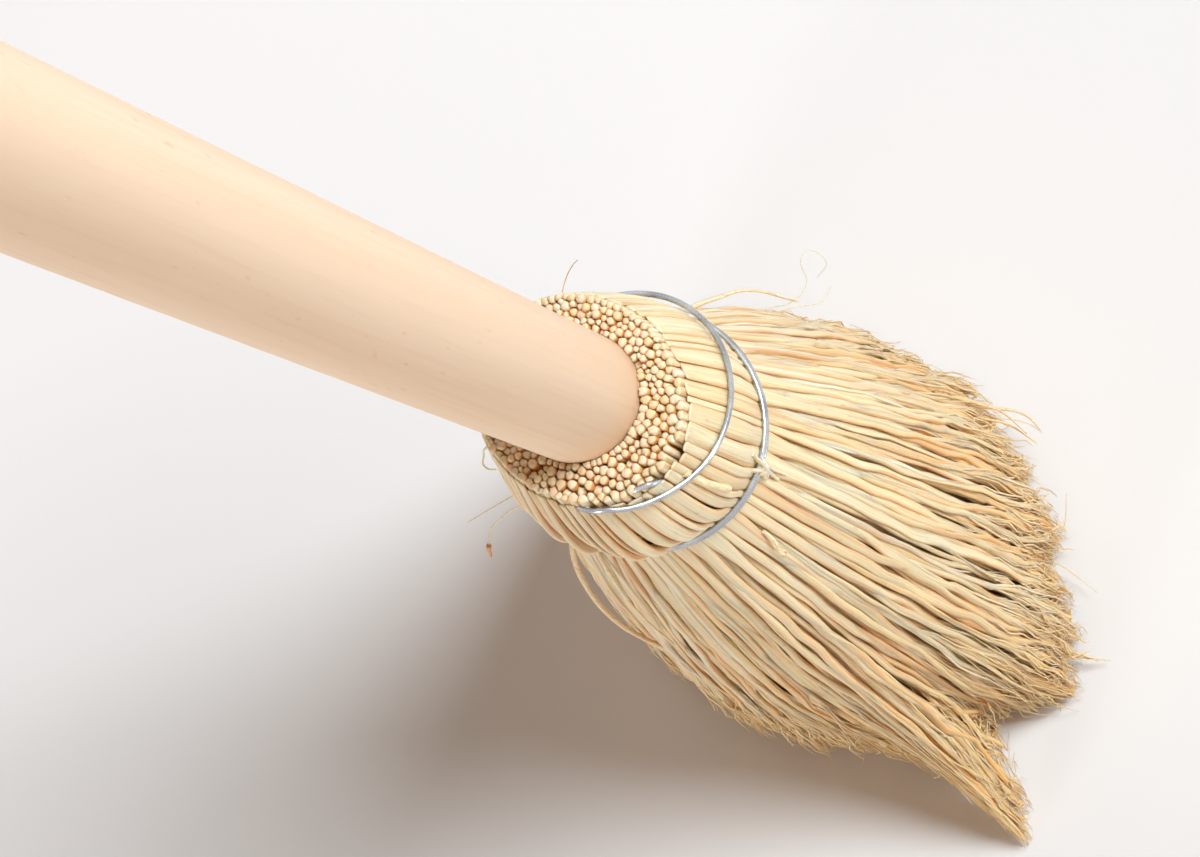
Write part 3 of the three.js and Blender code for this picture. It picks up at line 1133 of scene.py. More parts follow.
    def flat(self, angle: float, span: float) -> Lie:
        """Plans one flat stalk.

        Args:
            angle: Where its middle lies round the stick.
            span: The angle that it fills at the shoulder.

        Returns:
            The stalk's lie.
        """
        rng, shape = self.rng, self.shape
        upper = np.array(self.flat_drops) * MM
        upper[: self.end_rings] += min(abs(rng.normal(0, self.end_spread)), self.end_most)
        drops = run_down(upper, self.flat_lower, self.end(), self.rings)
        free, belly = shape.free(drops), shape.belly(drops)
        angles = np.full(len(drops), angle)
        arc = shape.stretch(angles, drops)
        slat = shape.slatted(angle)
        angles += self.sweep * slat * smooth_step(drops / shape.belly_drop)
        slit = hump(drops, rng.uniform(*self.slit_drops), self.slit_length)
        fill = rng.uniform(*self.fill) - slat * rng.uniform(*self.slat_gap) * belly
        room = arc * span / 2 * (fill - rng.uniform(*self.slit_gap) * slit)
        broad = rng.uniform(*self.width) * (1 + self.width_sway * waves(drops, self.width_waves, rng))
        loosened = fade(drops, *self.loosening)
        width = room * (1 - loosened) + np.minimum(room * self.most_room, broad) * loosened
        taper = narrowed(free, *self.taper)
        bulge = (rng.uniform(*self.bulge) + slat * rng.uniform(*self.slat_bulge)) * belly
        thicker = self.thickness * rng.uniform(*self.thickness_range) - self.end_thickness
        thick = self.end_thickness + thicker * smooth_step(drops / self.end_length)
        thick += self.slat_thickness * slat * belly
        sink, stray = self.strayed(drops, free, self.wander)
        roll = rng.normal(0, self.end_roll) + slat * rng.normal(0, self.slat_roll) * belly
        roll += rng.normal(0, self.tip_roll) * free**self.tip_roll_power
        return Lie(
            drops=drops, angles=angles + stray / arc, depths=thick * self.sunk_share - bulge + sink,
            half_widths=width * taper, half_depths=thick * (self.thin_share + (1 - self.thin_share) * taper),
            rolls=roll + waves(drops, self.roll_waves, rng) * self.roll_sway * free, tone=rng.random(),
            age=self.ages(drops), fold=rng.uniform(*self.wander.fold), fold_turn=rng.uniform(0, FULL_TURN),
        )

    def loose(self, angle: float) -> Lie:
        """Plans one strand that lies hidden under the row and comes out below the binding.

        Args:
            angle: Where it comes out round the stick.

        Returns:
            The strand's lie.
        """
        rng, shape = self.rng, self.shape
        upper = np.array(self.loose_drops) * MM + self.loose_start + rng.normal(0, self.loose_start_spread)
        drops = run_down(upper, self.loose_lower, self.end(), self.loose_rings)
        free = shape.free(drops)
        angles = np.full(len(drops), angle)
        arc = shape.stretch(angles, drops)
        cover = rng.uniform(*self.cover) ** self.cover_power
        girth = rng.uniform(*self.loose_width)
        width = girth * (1 + self.loose_width_sway * waves(drops, self.width_waves, rng))
        width *= 1 - self.loose_thin * (1 - fade(drops, *self.loose_widening))
        width *= narrowed(free, *self.loose_taper)
        rise = fade(drops, *self.loose_rising)
        depth = self.loose_depth + (cover * self.loose_cover - self.loose_depth) * rise
        sink, stray = self.strayed(drops, free, self.loose_wander)
        return Lie(
            drops=drops, angles=angles + stray / arc, depths=depth + sink, half_widths=width,
            half_depths=width * rng.uniform(*self.loose_depth_shares),
            rolls=rng.normal(0, self.loose_roll) + waves(drops, self.roll_waves, rng) * free,
            tone=rng.random(), age=self.ages(drops, self.cover_age * cover),
            fold=rng.uniform(*self.loose_wander.fold), fold_turn=rng.uniform(0, FULL_TURN), cut_tone=0.0,
        )


@dataclass
class RoundRows:
    """The pressed rows of round stalks between the stick and the outer row."""

    shape: HeadShape
    rng: np.random.Generator
    row_thickness: float
    count: int = 335
    radius: Span = (0.62 * MM, 1.04 * MM)
    lean_in: float = 1.3 * MM
    lean_in_drop: float = 6.0 * MM
    settle_steps: int = 140
    settle_share: float = 0.3
    halvings: int = 30
    squash_in: float = 0.9
    squash_out: float = 0.75
    end_gap: float = 0.02 * MM
    least_facing: float = 0.15
    press_limits: Span = (0.6, 1.3)
    rough_end: float = 0.07
    cell_sides: int = 20
    rings: int = 19
    upper_drops: Span = (0.0, 0.5, 3.0, 7.0, 14.0, 24.0, 33.0, 42.0)
    end_rings: int = 2
    end_spread: float = 0.4 * MM
    lower: float = 56.0 * MM
    tip_rise: Span = (0.6 * MM, 13.0 * MM)
    tip_core: float = 0.06
    tip_power: float = 0.24
    tip_reach: float = 0.95
    spread_rise: float = 1.7
    spread_power: float = 0.8
    hollow: float = 6.5 * MM
    sink: float = 2.2 * MM
    sink_sway: float = 2.0 * MM
    sink_waves: Span = (0.04, 0.08)
    stray: float = 5.0 * MM
    stray_sway: float = 3.2 * MM
    stray_waves: Span = (0.03, 0.05, 0.12)
    stray_power: float = 0.8
    least_radius: float = 4.0 * MM
    taper: Span = (0.4, 0.35)
    thicker: float = 0.45
    thicker_rise: float = 6.0
    flatter: Span = (0.0, 0.5)
    flatter_rise: float = 4.0
    row_share: float = 0.8
    roll: float = 1.2
    roll_rise: float = 2.0
    roll_sway: float = 1.4
    roll_waves: Span = (0.06, 0.1)
    tip_age: float = 0.12
    fold: float = 0.12

    def plan(self) -> list[tuple[tuple[Layer, int], Lie]]:
        """Plans every round stalk.

        Returns:
            For each stalk, its bunch's key and its lie.
        """
        places, radii = self.packed_ends()
        angles, shares = self.ring_places(places)
        rank = np.argsort(np.argsort(shares)) / (len(shares) - 1)
        cells = self.pressed_cells(places, radii, angles)
        planned = []
        for radius, angle, share, order, cell in zip(radii, angles, shares, rank, cells):
            layer = next(layer for layer in Layer if share <= layer.high)
            turn = (angle + QUARTER_TURN) % FULL_TURN
            index = int(turn / FULL_TURN * layer.bunches) % layer.bunches
            planned.append(((layer, index), self.lie(angle, share, radius, order, cell)))
        return planned

    def packed_ends(self) -> tuple[np.ndarray, np.ndarray]:
        """Packs the round stalks' cut ends side by side, pushed apart until they just press.

        Returns:
            The place of each end off the stick's line, and its radius.
        """
        rng, count = self.rng, self.count
        radii = rng.uniform(*self.radius, count)
        angle = rng.uniform(0, FULL_TURN, count)
        reach = rng.uniform(self.shape.stick_radius, self.shape.rim[1], count)
        place = ring_of(angle) * reach[:, None]
        itself = np.eye(count)
        for _ in range(self.settle_steps):
            gap = place[:, None] - place[None]
            apart = np.hypot(gap[..., 0], gap[..., 1]) + itself
            press = np.clip(radii[:, None] + radii[None] - apart, 0, None) * (1 - itself)
            place += (gap / apart[..., None] * press[..., None]).sum(1) * self.settle_share
            place = self.held(place, radii)
        return place, radii

    def row_edge(self, angle: np.ndarray) -> np.ndarray:
        """Distance from the stick's line to the inside of the outer row at the rim."""
        wide, deep = (half - self.row_thickness for half in self.shape.rim)
        return 1 / np.hypot(np.cos(angle) / wide, np.sin(angle) / deep)

    def held(self, place: np.ndarray, radii: np.ndarray) -> np.ndarray:
        """Keeps the ends between the stick and the outer row."""
        angle = np.arctan2(place[:, 1], place[:, 0])
        reach = np.hypot(place[:, 0], place[:, 1])
        low = self.shape.stick_radius + radii * self.squash_in
        high = self.row_edge(angle) - radii * self.squash_out
        return ring_of(angle) * np.clip(reach, low, high)[:, None]

    def ring_places(self, places: np.ndarray) -> tuple[np.ndarray, np.ndarray]:
        """Turns places at the rim into places in the head's own form, by halving.

        Args:
            places: X and Y of each place off the stick's line.

        Returns:
            The angle of each, and its share of the way from the core to the skin.
        """
        core = float(self.shape.core(0.0))
        wide, deep = self.shape.rim
        low, high = np.zeros(len(places)), np.ones(len(places))
        for _ in range(self.halvings):
            share = (low + high) / 2
            across = places[:, 0] / (core + (wide - core) * share)
            along = places[:, 1] / (core + (deep - core) * share)
            outside = across**2 + along**2 > 1
            low, high = np.where(outside, share, low), np.where(outside, high, share)
        return np.arctan2(along, across), (low + high) / 2

    def pressed_cells(self, places: np.ndarray, radii: np.ndarray, angles: np.ndarray) -> np.ndarray:
        """Works out how each cut end is pressed flat against its neighbours.

        Args:
            places: The places of the ends.
            radii: Their radii.
            angles: Their angles in the head's own form.

        Returns:
            For each end, its reach in each direction as a share of its radius.
        """
        ways = np.linspace(0, FULL_TURN, self.cell_sides, endpoint=False)
        facing_out = self.shape.outward(angles, np.zeros(len(angles)))
        cells = np.zeros((len(places), self.cell_sides))
        for i, (place, radius) in enumerate(zip(places, radii)):
            gap = np.delete(places - place, i, axis=0)
            apart = np.hypot(gap[:, 0], gap[:, 1])
            wall = (apart**2 + radius**2 - np.delete(radii, i) ** 2) / (2 * apart) - self.end_gap
            outer = math.atan2(place[1], place[0])
            out = float(self.row_edge(np.array([outer]))[0] - np.hypot(*place))
            inward = float(np.hypot(*place) - self.shape.stick_radius)
            wall = np.concatenate((wall, [out, inward]))
            heading = np.concatenate((np.arctan2(gap[:, 1], gap[:, 0]), [outer, outer + math.pi]))
            own = math.atan2(facing_out[i, 1], facing_out[i, 0])
            for k, way in enumerate(ways):
                facing = np.cos(own + way - QUARTER_TURN - heading)
                steep = np.maximum(facing, self.least_facing)
                near = np.where(facing > self.least_facing, wall / steep, np.inf).min()
                pressed = np.clip(near / radius, *self.press_limits)
                cells[i, k] = pressed * self.rng.normal(1.0, self.rough_end)
        return cells

    def lie(self, angle: float, share: float, radius: float, order: float, cell: np.ndarray) -> Lie:
        """Plans one round stalk.

        Args:
            angle: Where it starts round the stick.
            share: Where it starts between the core and the skin.
            radius: Its radius at the cut end.
            order: Its rank from the stick outwards, 0 to 1.
            cell: How its cut end is pressed.

        Returns:
            The stalk's lie.
        """
        rng, shape = self.rng, self.shape
        end = shape.length - rng.uniform(*self.tip_rise)
        upper = np.array(self.upper_drops) * MM
        upper[: self.end_rings] += rng.normal(0, self.end_spread)
        drops = run_down(upper, self.lower, end, self.rings)
        free = shape.free(drops)
        angles = np.full(len(drops), angle)
        reach = shape.reach(angles, drops)
        outer = (self.tip_core + (1 - self.tip_core) * order) ** self.tip_power
        tip_depth = (1 - outer) * reach[-1] * self.tip_reach
        packed = (1 - share) * (reach - shape.core(drops))
        packed += self.hollow * shape.slatted(angle) * shape.belly(drops) * share
        depth = packed + (tip_depth - packed) * smooth_step(free * self.spread_rise) ** self.spread_power
        depth += rng.normal(0, self.sink) * free + waves(drops, self.sink_waves, rng) * self.sink_sway * free
        stray = rng.normal(0, self.stray) * free
        stray += waves(drops, self.stray_waves, rng) * self.stray_sway * free**self.stray_power
        girth = radius * (1 + self.thicker * rng.random() * smooth_step(free * self.thicker_rise))
        girth *= narrowed(free, *self.taper)
        flatten = 1 + rng.uniform(*self.flatter) * smooth_step(free * self.flatter_rise)
        row = radius * self.row_share + self.lean_in * smooth_step(drops / self.lean_in_drop)
        roll = rng.normal(0, self.roll) * smooth_step(free * self.roll_rise)
        return Lie(
            drops=drops, angles=angles + stray / np.maximum(reach - depth, self.least_radius),
            depths=np.maximum(depth, row), half_widths=girth * flatten, half_depths=girth / flatten,
            rolls=roll + waves(drops, self.roll_waves, rng) * free * self.roll_sway, tone=rng.random(),
            age=drops / shape.length + self.tip_age * free, pressed=cell, fold=self.fold,
            fold_turn=rng.uniform(0, FULL_TURN),
        )


@dataclass
class Fibres:
    """Fine fibres that split off the lower part of the stalks."""

    shape: HeadShape
    rng: np.random.Generator
    rings: int = 11
    sides: int = 4
    point: float = 0.3
    start_shares: Span = (0.5, 0.9)
    end_spread: float = 10.0 * MM
    end_gap: float = 0.5 * MM
    lengths: Span = (12.0 * MM, 30.0 * MM)
    least_radius: float = 4.0 * MM
    curl: float = 2.0 * MM
    curl_waves: Span = (0.008, 0.014, 0.026)
    stray: float = 2.9 * MM
    stray_power: float = 1.5
    lift: float = 1.5 * MM
    lift_power: float = 1.6
    lift_curl: float = 1.1 * MM
    lift_waves: Span = (0.016, 0.03)
    most_lift: float = 4.5 * MM
    thickness: Span = (0.2 * MM, 0.5 * MM)
    taper: float = 0.7
    flatness: float = 0.8
    tone_spread: float = 0.2
    youth: Span = (-0.3, 0.0)

    def __post_init__(self) -> None:
        """Models the straight fibre."""
        model = StalkModel("fibre", self.sides, self.rings, point=self.point)
        self.bender = Bender(self.shape, model.build())

    def off(self, stalks: list[Lie], count: int) -> list[bpy.types.Mesh]:
        """Splits some fibres off each stalk."""
        return [self.bender.copy(self.lie(stalk)) for stalk in stalks for _ in range(count)]

    def lie(self, stalk: Lie) -> Lie:
        """Plans one fibre that leaves a stalk.

        Args:
            stalk: The stalk's own lie.

        Returns:
            The fibre's lie.
        """
        rng, shape = self.rng, self.shape
        start = rng.uniform(*self.start_shares) * shape.length
        end = stalk.drops[-1] + rng.uniform(-self.end_spread, self.end_spread)
        end = min(end, shape.length - self.end_gap)
        if end - start < self.lengths[0]:
            start = end - rng.uniform(*self.lengths)
        drops, away = np.linspace(start, end, self.rings), np.linspace(0, 1, self.rings)
        angles = np.interp(drops, stalk.drops, stalk.angles)
        depths = np.interp(drops, stalk.drops, stalk.depths)
        arc = np.maximum(shape.stretch(angles, drops) - depths, self.least_radius)
        stray = waves(drops, self.curl_waves, rng) * self.curl * away
        stray += rng.normal(0, self.stray) * away**self.stray_power
        lift = rng.normal(0, self.lift) * away**self.lift_power
        lift += waves(drops, self.lift_waves, rng) * self.lift_curl * away
        thick = rng.uniform(*self.thickness) * (1 - self.taper * away)
        return Lie(
            drops=drops, angles=angles + stray / arc, depths=np.maximum(depths + lift, -self.most_lift),
            half_widths=thick, half_depths=thick * self.flatness,
            rolls=np.full(self.rings, rng.uniform(0, math.pi)),
            tone=float(np.clip(stalk.tone + rng.normal(0, self.tone_spread), 0, 1)),
            age=drops / shape.length + rng.uniform(*self.youth), cut_tone=0.0,
        )


@dataclass
class StrawHead:
    """The whole head of straw: an outer row of flat stalks round pressed rows of round ones."""

    shape: HeadShape
    outer_finish: bpy.types.Material
    # The inner finish's deeper tones are partly painted shade.
    inner_finish_with_shade: bpy.types.Material
    outer_fibres: int = 10
    inner_fibres: int = 7
    flat_sides: int = 8
    round_sides: int = 10
    round_insets: tuple[Span, ...] = ((0.14, 0.38), (0.34, 0.22))
    flat_insets: tuple[Span, ...] = ((0.24, 0.5), (0.3, 0.3))
    subdivided_fullness: float = 1.08
    flat_power: float = 0.6
    rng: np.random.Generator = field(default_factory=lambda: np.random.default_rng(SEED))

    def build(self) -> list[bpy.types.Object]:
        """Models every bunch of straw.

        Returns:
            One finished piece for each bunch.
        """
        row = OuterRow(self.shape, self.rng)
        rounds = RoundRows(self.shape, self.rng, row.end_thickness)
        flat, loose, rounded = self.benders(row, rounds)
        fibres = Fibres(self.shape, self.rng)
        bunches: dict[tuple[Layer, int], list[Lie]] = {}
        for key, lie in rounds.plan():
            bunches.setdefault(key, []).append(lie)
        pieces = []
        for index in range(Layer.OUTER.bunches):
            lies = row.plan(index)
            strips = [(flat if len(lie.drops) == row.rings else loose).copy(lie) for lie in lies]
            stalks = [rounded.copy(lie) for lie in bunches.pop((Layer.OUTER, index), [])]
            stalks += fibres.off(lies, self.outer_fibres)
            pieces.append(self.finish(Layer.OUTER, index, [(strips, 1), (stalks, 0)]))
        for layer, index in sorted(bunches, key=lambda key: (key[0].label, key[1])):
            lies = bunches[layer, index]
            stalks = [rounded.copy(lie) for lie in lies] + fibres.off(lies, self.inner_fibres)
            pieces.append(self.finish(layer, index, [(stalks, 0)]))
        return pieces

    def benders(self, row: OuterRow, rounds: RoundRows) -> tuple[Bender, Bender, Bender]:
        """Models the straight stalks.

        Args:
            row: The outer row.
            rounds: The rows of round stalks.

        Returns:
            The benders of flat stalks, loose strands and round stalks.
        """
        shape, sides, full = self.shape, self.flat_sides, self.subdivided_fullness
        flat = StalkModel("flat_stalk", sides, row.rings, self.flat_insets).build()
        loose = StalkModel("loose_strand", sides, row.loose_rings).build()
        rounded = StalkModel("round_stalk", self.round_sides, rounds.rings, self.round_insets).build()
        return Bender(shape, flat, full, self.flat_power), Bender(shape, loose, full), Bender(shape, rounded)

    def finish(self, layer: Layer, index: int,
               groups: list[tuple[list[bpy.types.Mesh], int]]) -> bpy.types.Object:
        """Joins one bunch's stalks and fibres, and ties the piece to the frame.

        Args:
            layer: The bunch's layer.
            index: Its place in the layer.
            groups: Its bent copies, in groups that are subdivided equally often.

        Returns:
            The finished piece.
        """
        node = layer.node(index)
        name = f"{node}_stalks"
        piece = join(name, [gather(name, meshes, levels) for meshes, levels in groups])
        outer = layer is Layer.OUTER
        slot = Slot.OUTER_STRAW if outer else Slot.INNER_STRAW
        settle(piece, slot, self.outer_finish if outer else self.inner_finish_with_shade, node)
        return piece


@dataclass(frozen=True)
class Wisp:
    """One stray fibre or bit of straw, along listed points.

    A point is an angle round the stick in degrees, then the height off the skin and the drop
    below the cut ends, both in millimetres. Radii are in millimetres too.
    """

    route: tuple[tuple[float, float, float], ...]
    radius: float
    end_radius: float
    tone: float = 0.3
    age: float = 0.4


@dataclass
class StrayStraw:
    """The stray fibres, loose strands and seed bits that stand off the head."""

    shape: HeadShape
    name: str
    wisps: tuple[Wisp, ...]
    finish: bpy.types.Material
    steps: int = 5
    section: int = 1
    grain_step: float = 0.37

    def build(self) -> bpy.types.Object:
        """Models every stray bit as a tapered curve, and joins them into one piece.

        Returns:
            The finished piece.
        """
        piece = join(self.name, [self.strand(order, wisp) for order, wisp in enumerate(self.wisps)])
        bpy.ops.object.shade_smooth()
        settle(piece, Slot.OUTER_STRAW, self.finish)
        return piece

    def strand(self, order: int, wisp: Wisp) -> bpy.types.Object:
        """Turns one stray bit's route into a tapered mesh with the straw's attributes.

        Args:
            order: The bit's place in the list, which shifts its grain.
            wisp: The bit's route and thickness.

        Returns:
            The mesh object.
        """
        angles, heights, drops = np.array(wisp.route).T
        places = self.shape.points(np.radians(angles), -heights * MM, drops * MM)
        radii = np.linspace(wisp.radius, wisp.end_radius, len(places)) * MM
        strand = tube(self.name, places, radii, self.section, self.steps)
        mesh = strand.data
        places = points_of(mesh)
        places[:, 2] = np.maximum(places[:, 2], FLOOR_GAP)
        mesh.vertices.foreach_set("co", places.ravel())
        store(mesh, tone=wisp.tone, age=wisp.age, cut=0.0, side=0.0)
        store_grain(mesh, places + order * self.grain_step)
        return strand


# The stick, the wires and the nails


@dataclass
class Stick:
    """The round wooden stick, with a rounded top and a tapered nose in the straw."""

    low: Vector
    high: Vector
    finish: bpy.types.Material
    sides: int = 96
    nose_length: float = 9 * MM
    nose_radius: float = 8.5 * MM
    dome_height: float = 9 * MM
    top_flat: float = 5.5 * MM
    dome_steps: int = 10
    smooth_angle: float = 25.0

    def build(self) -> None:
        """Models the stick from its nose up."""
        line = tuple((self.low + self.high) / 2)[:2]
        radius = last = (self.high.x - self.low.x) / 2
        stick = start_disc("wooden_stick", self.sides, self.nose_radius, (*line, self.low.z))
        extrude(self.nose_length, radius / self.nose_radius, line)
        extrude(self.high.z - self.low.z - self.nose_length - self.dome_height, 1.0, line)
        height = 0.0
        for step in range(1, self.dome_steps + 1):
            turn = QUARTER_TURN * step / self.dome_steps
            new_height = self.dome_height * math.sin(turn)
            new_radius = self.top_flat + (radius - self.top_flat) * math.cos(turn)
            extrude(new_height - height, new_radius / last, line)
            height, last = new_height, new_radius
        outward_faces(stick)
        smoothed(stick, self.smooth_angle)
        settle(stick, Slot.WOOD, self.finish, "handle")


@dataclass
class Bindings:
    """The outer and inner binding wires and the nails that hold them to the stick."""

    shape: HeadShape
    wire_finish: bpy.types.Material
    nail_finish: bpy.types.Material
    wire_radius: float = 0.6 * MM
    section: int = 3
    smooth_angle: float = 50.0
    pitch: float = 1.3 * MM
    start: float = math.radians(994.86)
    climb_start: float = math.radians(215)
    climb_end: float = math.radians(-47)
    tuck_end: float = math.radians(-66)
    tuck_drop: float = 0.5 * MM
    tuck_depth: float = 2.2 * MM
    tuck_fall: float = 2.6 * MM
    press: float = 0.1 * MM
    loose_angle: float = math.radians(105)
    loose_width: float = math.radians(42)
    loose_lift: float = 0.7 * MM
    inner_start: float = QUARTER_TURN + 0.16
    inner_share: float = 0.33
    inner_turns: int = 2
    steps_per_turn: int = 120
    tail_steps: int = 24
    tail: tuple[tuple[float, float, float], ...] = (
        (18.2, -9.8, -2.6), (19.0, -9.4, -0.8), (19.8, -8.6, 0.5), (20.7, -7.4, 0.75),
        (21.6, -6.3, 0.6), (22.1, -5.2, -0.9), (22.3, -4.4, -2.6),
    )

    def build(self) -> None:
        """Models both wires and both nails."""
        outer, tail = self.wire("outer_wire", self.outer_run()), self.wire("wire_tail", self.tail_run())
        settle(join("outer_wire", [outer, tail]), Slot.WIRE, self.wire_finish, "outer_binding_wire")
        inner = self.wire("inner_wire", self.inner_run())
        settle(inner, Slot.WIRE, self.wire_finish, "inner_binding_wire")
        for node, facing in (("outer_wire_nail", -1.0), ("inner_wire_nail", 1.0)):
            Nail(node, facing, self.nail_finish).build()

    def wire(self, name: str, run: np.ndarray) -> bpy.types.Object:
        """Models a wire along a run of points."""
        wire = tube(name, run, np.full(len(run), self.wire_radius), self.section)
        smoothed(wire, self.smooth_angle)
        return wire

    def outer_run(self) -> np.ndarray:
        """Points of the outer wire: wraps at the waist, then one climb over the shoulder."""
        count = int((self.start - self.tuck_end) / FULL_TURN * self.steps_per_turn)
        angle = np.linspace(self.start, self.tuck_end, count)
        turns = (self.start - self.climb_start) / FULL_TURN
        wound = np.minimum((self.start - angle) / FULL_TURN, turns)
        climbed = np.clip((self.climb_start - angle) / (self.climb_start - self.climb_end), 0, 1)
        waist = self.shape.waist_drop - (wound - turns / 2) * self.pitch
        tucked = np.clip((self.climb_end - angle) / (self.climb_end - self.tuck_end), 0, 1)
        drop = waist + (self.tuck_drop - waist) * climbed + self.tuck_fall * tucked
        lifted = self.loose_lift * hump(angle, self.loose_angle, self.loose_width)
        depth = self.press - self.wire_radius + self.tuck_depth * tucked**2 - lifted
        return self.shape.points(angle, depth, drop)

    def tail_run(self) -> np.ndarray:
        """Points of the wire's tucked end, which shows among the cut ends by the rim."""
        knots = np.array(self.tail) * MM
        spots = np.linspace(0, len(knots) - 1, self.tail_steps)
        run = np.column_stack([np.interp(spots, np.arange(len(knots)), part) for part in knots.T])
        run[1:-1] = (run[:-2] + 2 * run[1:-1] + run[2:]) / 4
        return run + np.array((*self.shape.axis, self.shape.length))

    def inner_run(self) -> np.ndarray:
        """Points of the inner wire: plain wraps between the inner and the middle layer."""
        share = np.linspace(0, 1, self.inner_turns * self.steps_per_turn)
        angle = self.inner_start - FULL_TURN * self.inner_turns * share
        drop = self.shape.waist_drop + (0.5 - share) * self.inner_turns * self.pitch
        depth = (self.shape.reach(angle, drop) - self.shape.core(drop)) * (1 - self.inner_share)
        return self.shape.points(angle, depth, drop)


@dataclass
class Nail:
    """A small flat-headed nail that lies along Y."""

    node: str
    facing: float
    finish: bpy.types.Material
    sides: int = 24
    shank_radius: float = 0.8 * MM
    point_length: float = 2.4 * MM
    point_share: float = 0.05
    head_radius: float = 2.0 * MM
    head_thickness: float = 0.7 * MM
    head_bevel: float = 0.15 * MM
    bevel_steps: int = 2
    flat_limit: float = 0.9
    smooth_angle: float = 35.0

    def build(self) -> None:
        """Models the nail upright from its head down, turns it and sets it in its place."""
        low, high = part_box(self.node)
        length = high.y - low.y - self.head_thickness
        clear_selection()
        bpy.ops.mesh.primitive_cylinder_add(
            vertices=self.sides, radius=self.head_radius, depth=self.head_thickness,
            location=(0.0, 0.0, self.head_thickness / 2),
        )
        nail = bpy.context.object
        nail.name = f"{self.node}_steel"
        edit_faces(nail, lambda face: face.normal.z > self.flat_limit)
        bpy.ops.mesh.bevel(offset=self.head_bevel, segments=self.bevel_steps)
        edit_faces(nail, lambda face: face.normal.z < -self.flat_limit)
        bpy.ops.mesh.inset(thickness=self.head_radius - self.shank_radius, depth=0.0)
        extrude(self.point_length - length)
        extrude(-self.point_length, self.point_share)
        outward_faces(nail)
        head_y = low.y if self.facing < 0 else high.y
        nail.rotation_euler = (-self.facing * QUARTER_TURN, 0.0, 0.0)
        seat_y = head_y - self.facing * self.head_thickness
        nail.location = ((low.x + high.x) / 2, seat_y, (low.z + high.z) / 2)
        smoothed(nail, self.smooth_angle)
        settle(nail, Slot.NAIL, self.finish, self.node)


# The studio


@dataclass(frozen=True)
class Viewpoint:
    """Where the camera stands, seen from the middle of the ring of cut ends."""

    distance: float = 0.6554
    elevation: float = math.radians(68.58)
    azimuth: float = math.radians(8.92)
    yaw: float = math.radians(-0.32)
    pitch: float = math.radians(-0.56)
    roll: float = math.radians(-66.7)
    lens: float = 105.0
    sensor: float = 36.0
    nearest: float = 0.02

    def build(self, target: Vector) -> None:
        """Creates the camera and makes it the scene's own.

        Args:
            target: The middle of the ring of cut ends.
        """
        back = direction(self.azimuth, self.elevation)
        right = (-back).cross(Vector((0.0, 0.0, 1.0))).normalized()
        up = right.cross(-back)
        look = (-back + math.tan(self.yaw) * right + math.tan(self.pitch) * up).normalized()
        right = look.cross(up).normalized()
        level = Matrix((right, right.cross(look), -look)).transposed()
        turn = Matrix.Rotation(self.roll, 3, "Z")
        data = bpy.data.cameras.new("camera")
        data.lens = self.lens
        data.sensor_width = self.sensor
        data.clip_start = self.nearest
        camera = link("camera", data)
        camera.matrix_world = Matrix.Translation(target + back * self.distance) @ (level @ turn).to_4x4()
        bpy.context.scene.camera = camera


@dataclass(frozen=True)
class Lamp:
    """A soft round lamp that looks at the head, from an azimuth and an elevation in degrees."""

    name: str
    azimuth: float
    elevation: float
    distance: float
    size: float
    power: float
    colour: Span

    def build(self, target: Vector) -> None:
        """Hangs the lamp and turns it to the target."""
        data = bpy.data.lights.new(self.name, "AREA")
        data.shape = "DISK"
        data.size = self.size
        data.energy = self.power
        data.color = self.colour
        lamp = link(self.name, data)
        back = direction(math.radians(self.azimuth), math.radians(self.elevation))
        lamp.location = target + back * self.distance
        lamp.rotation_euler = (-back).to_track_quat("-Z", "Y").to_euler()


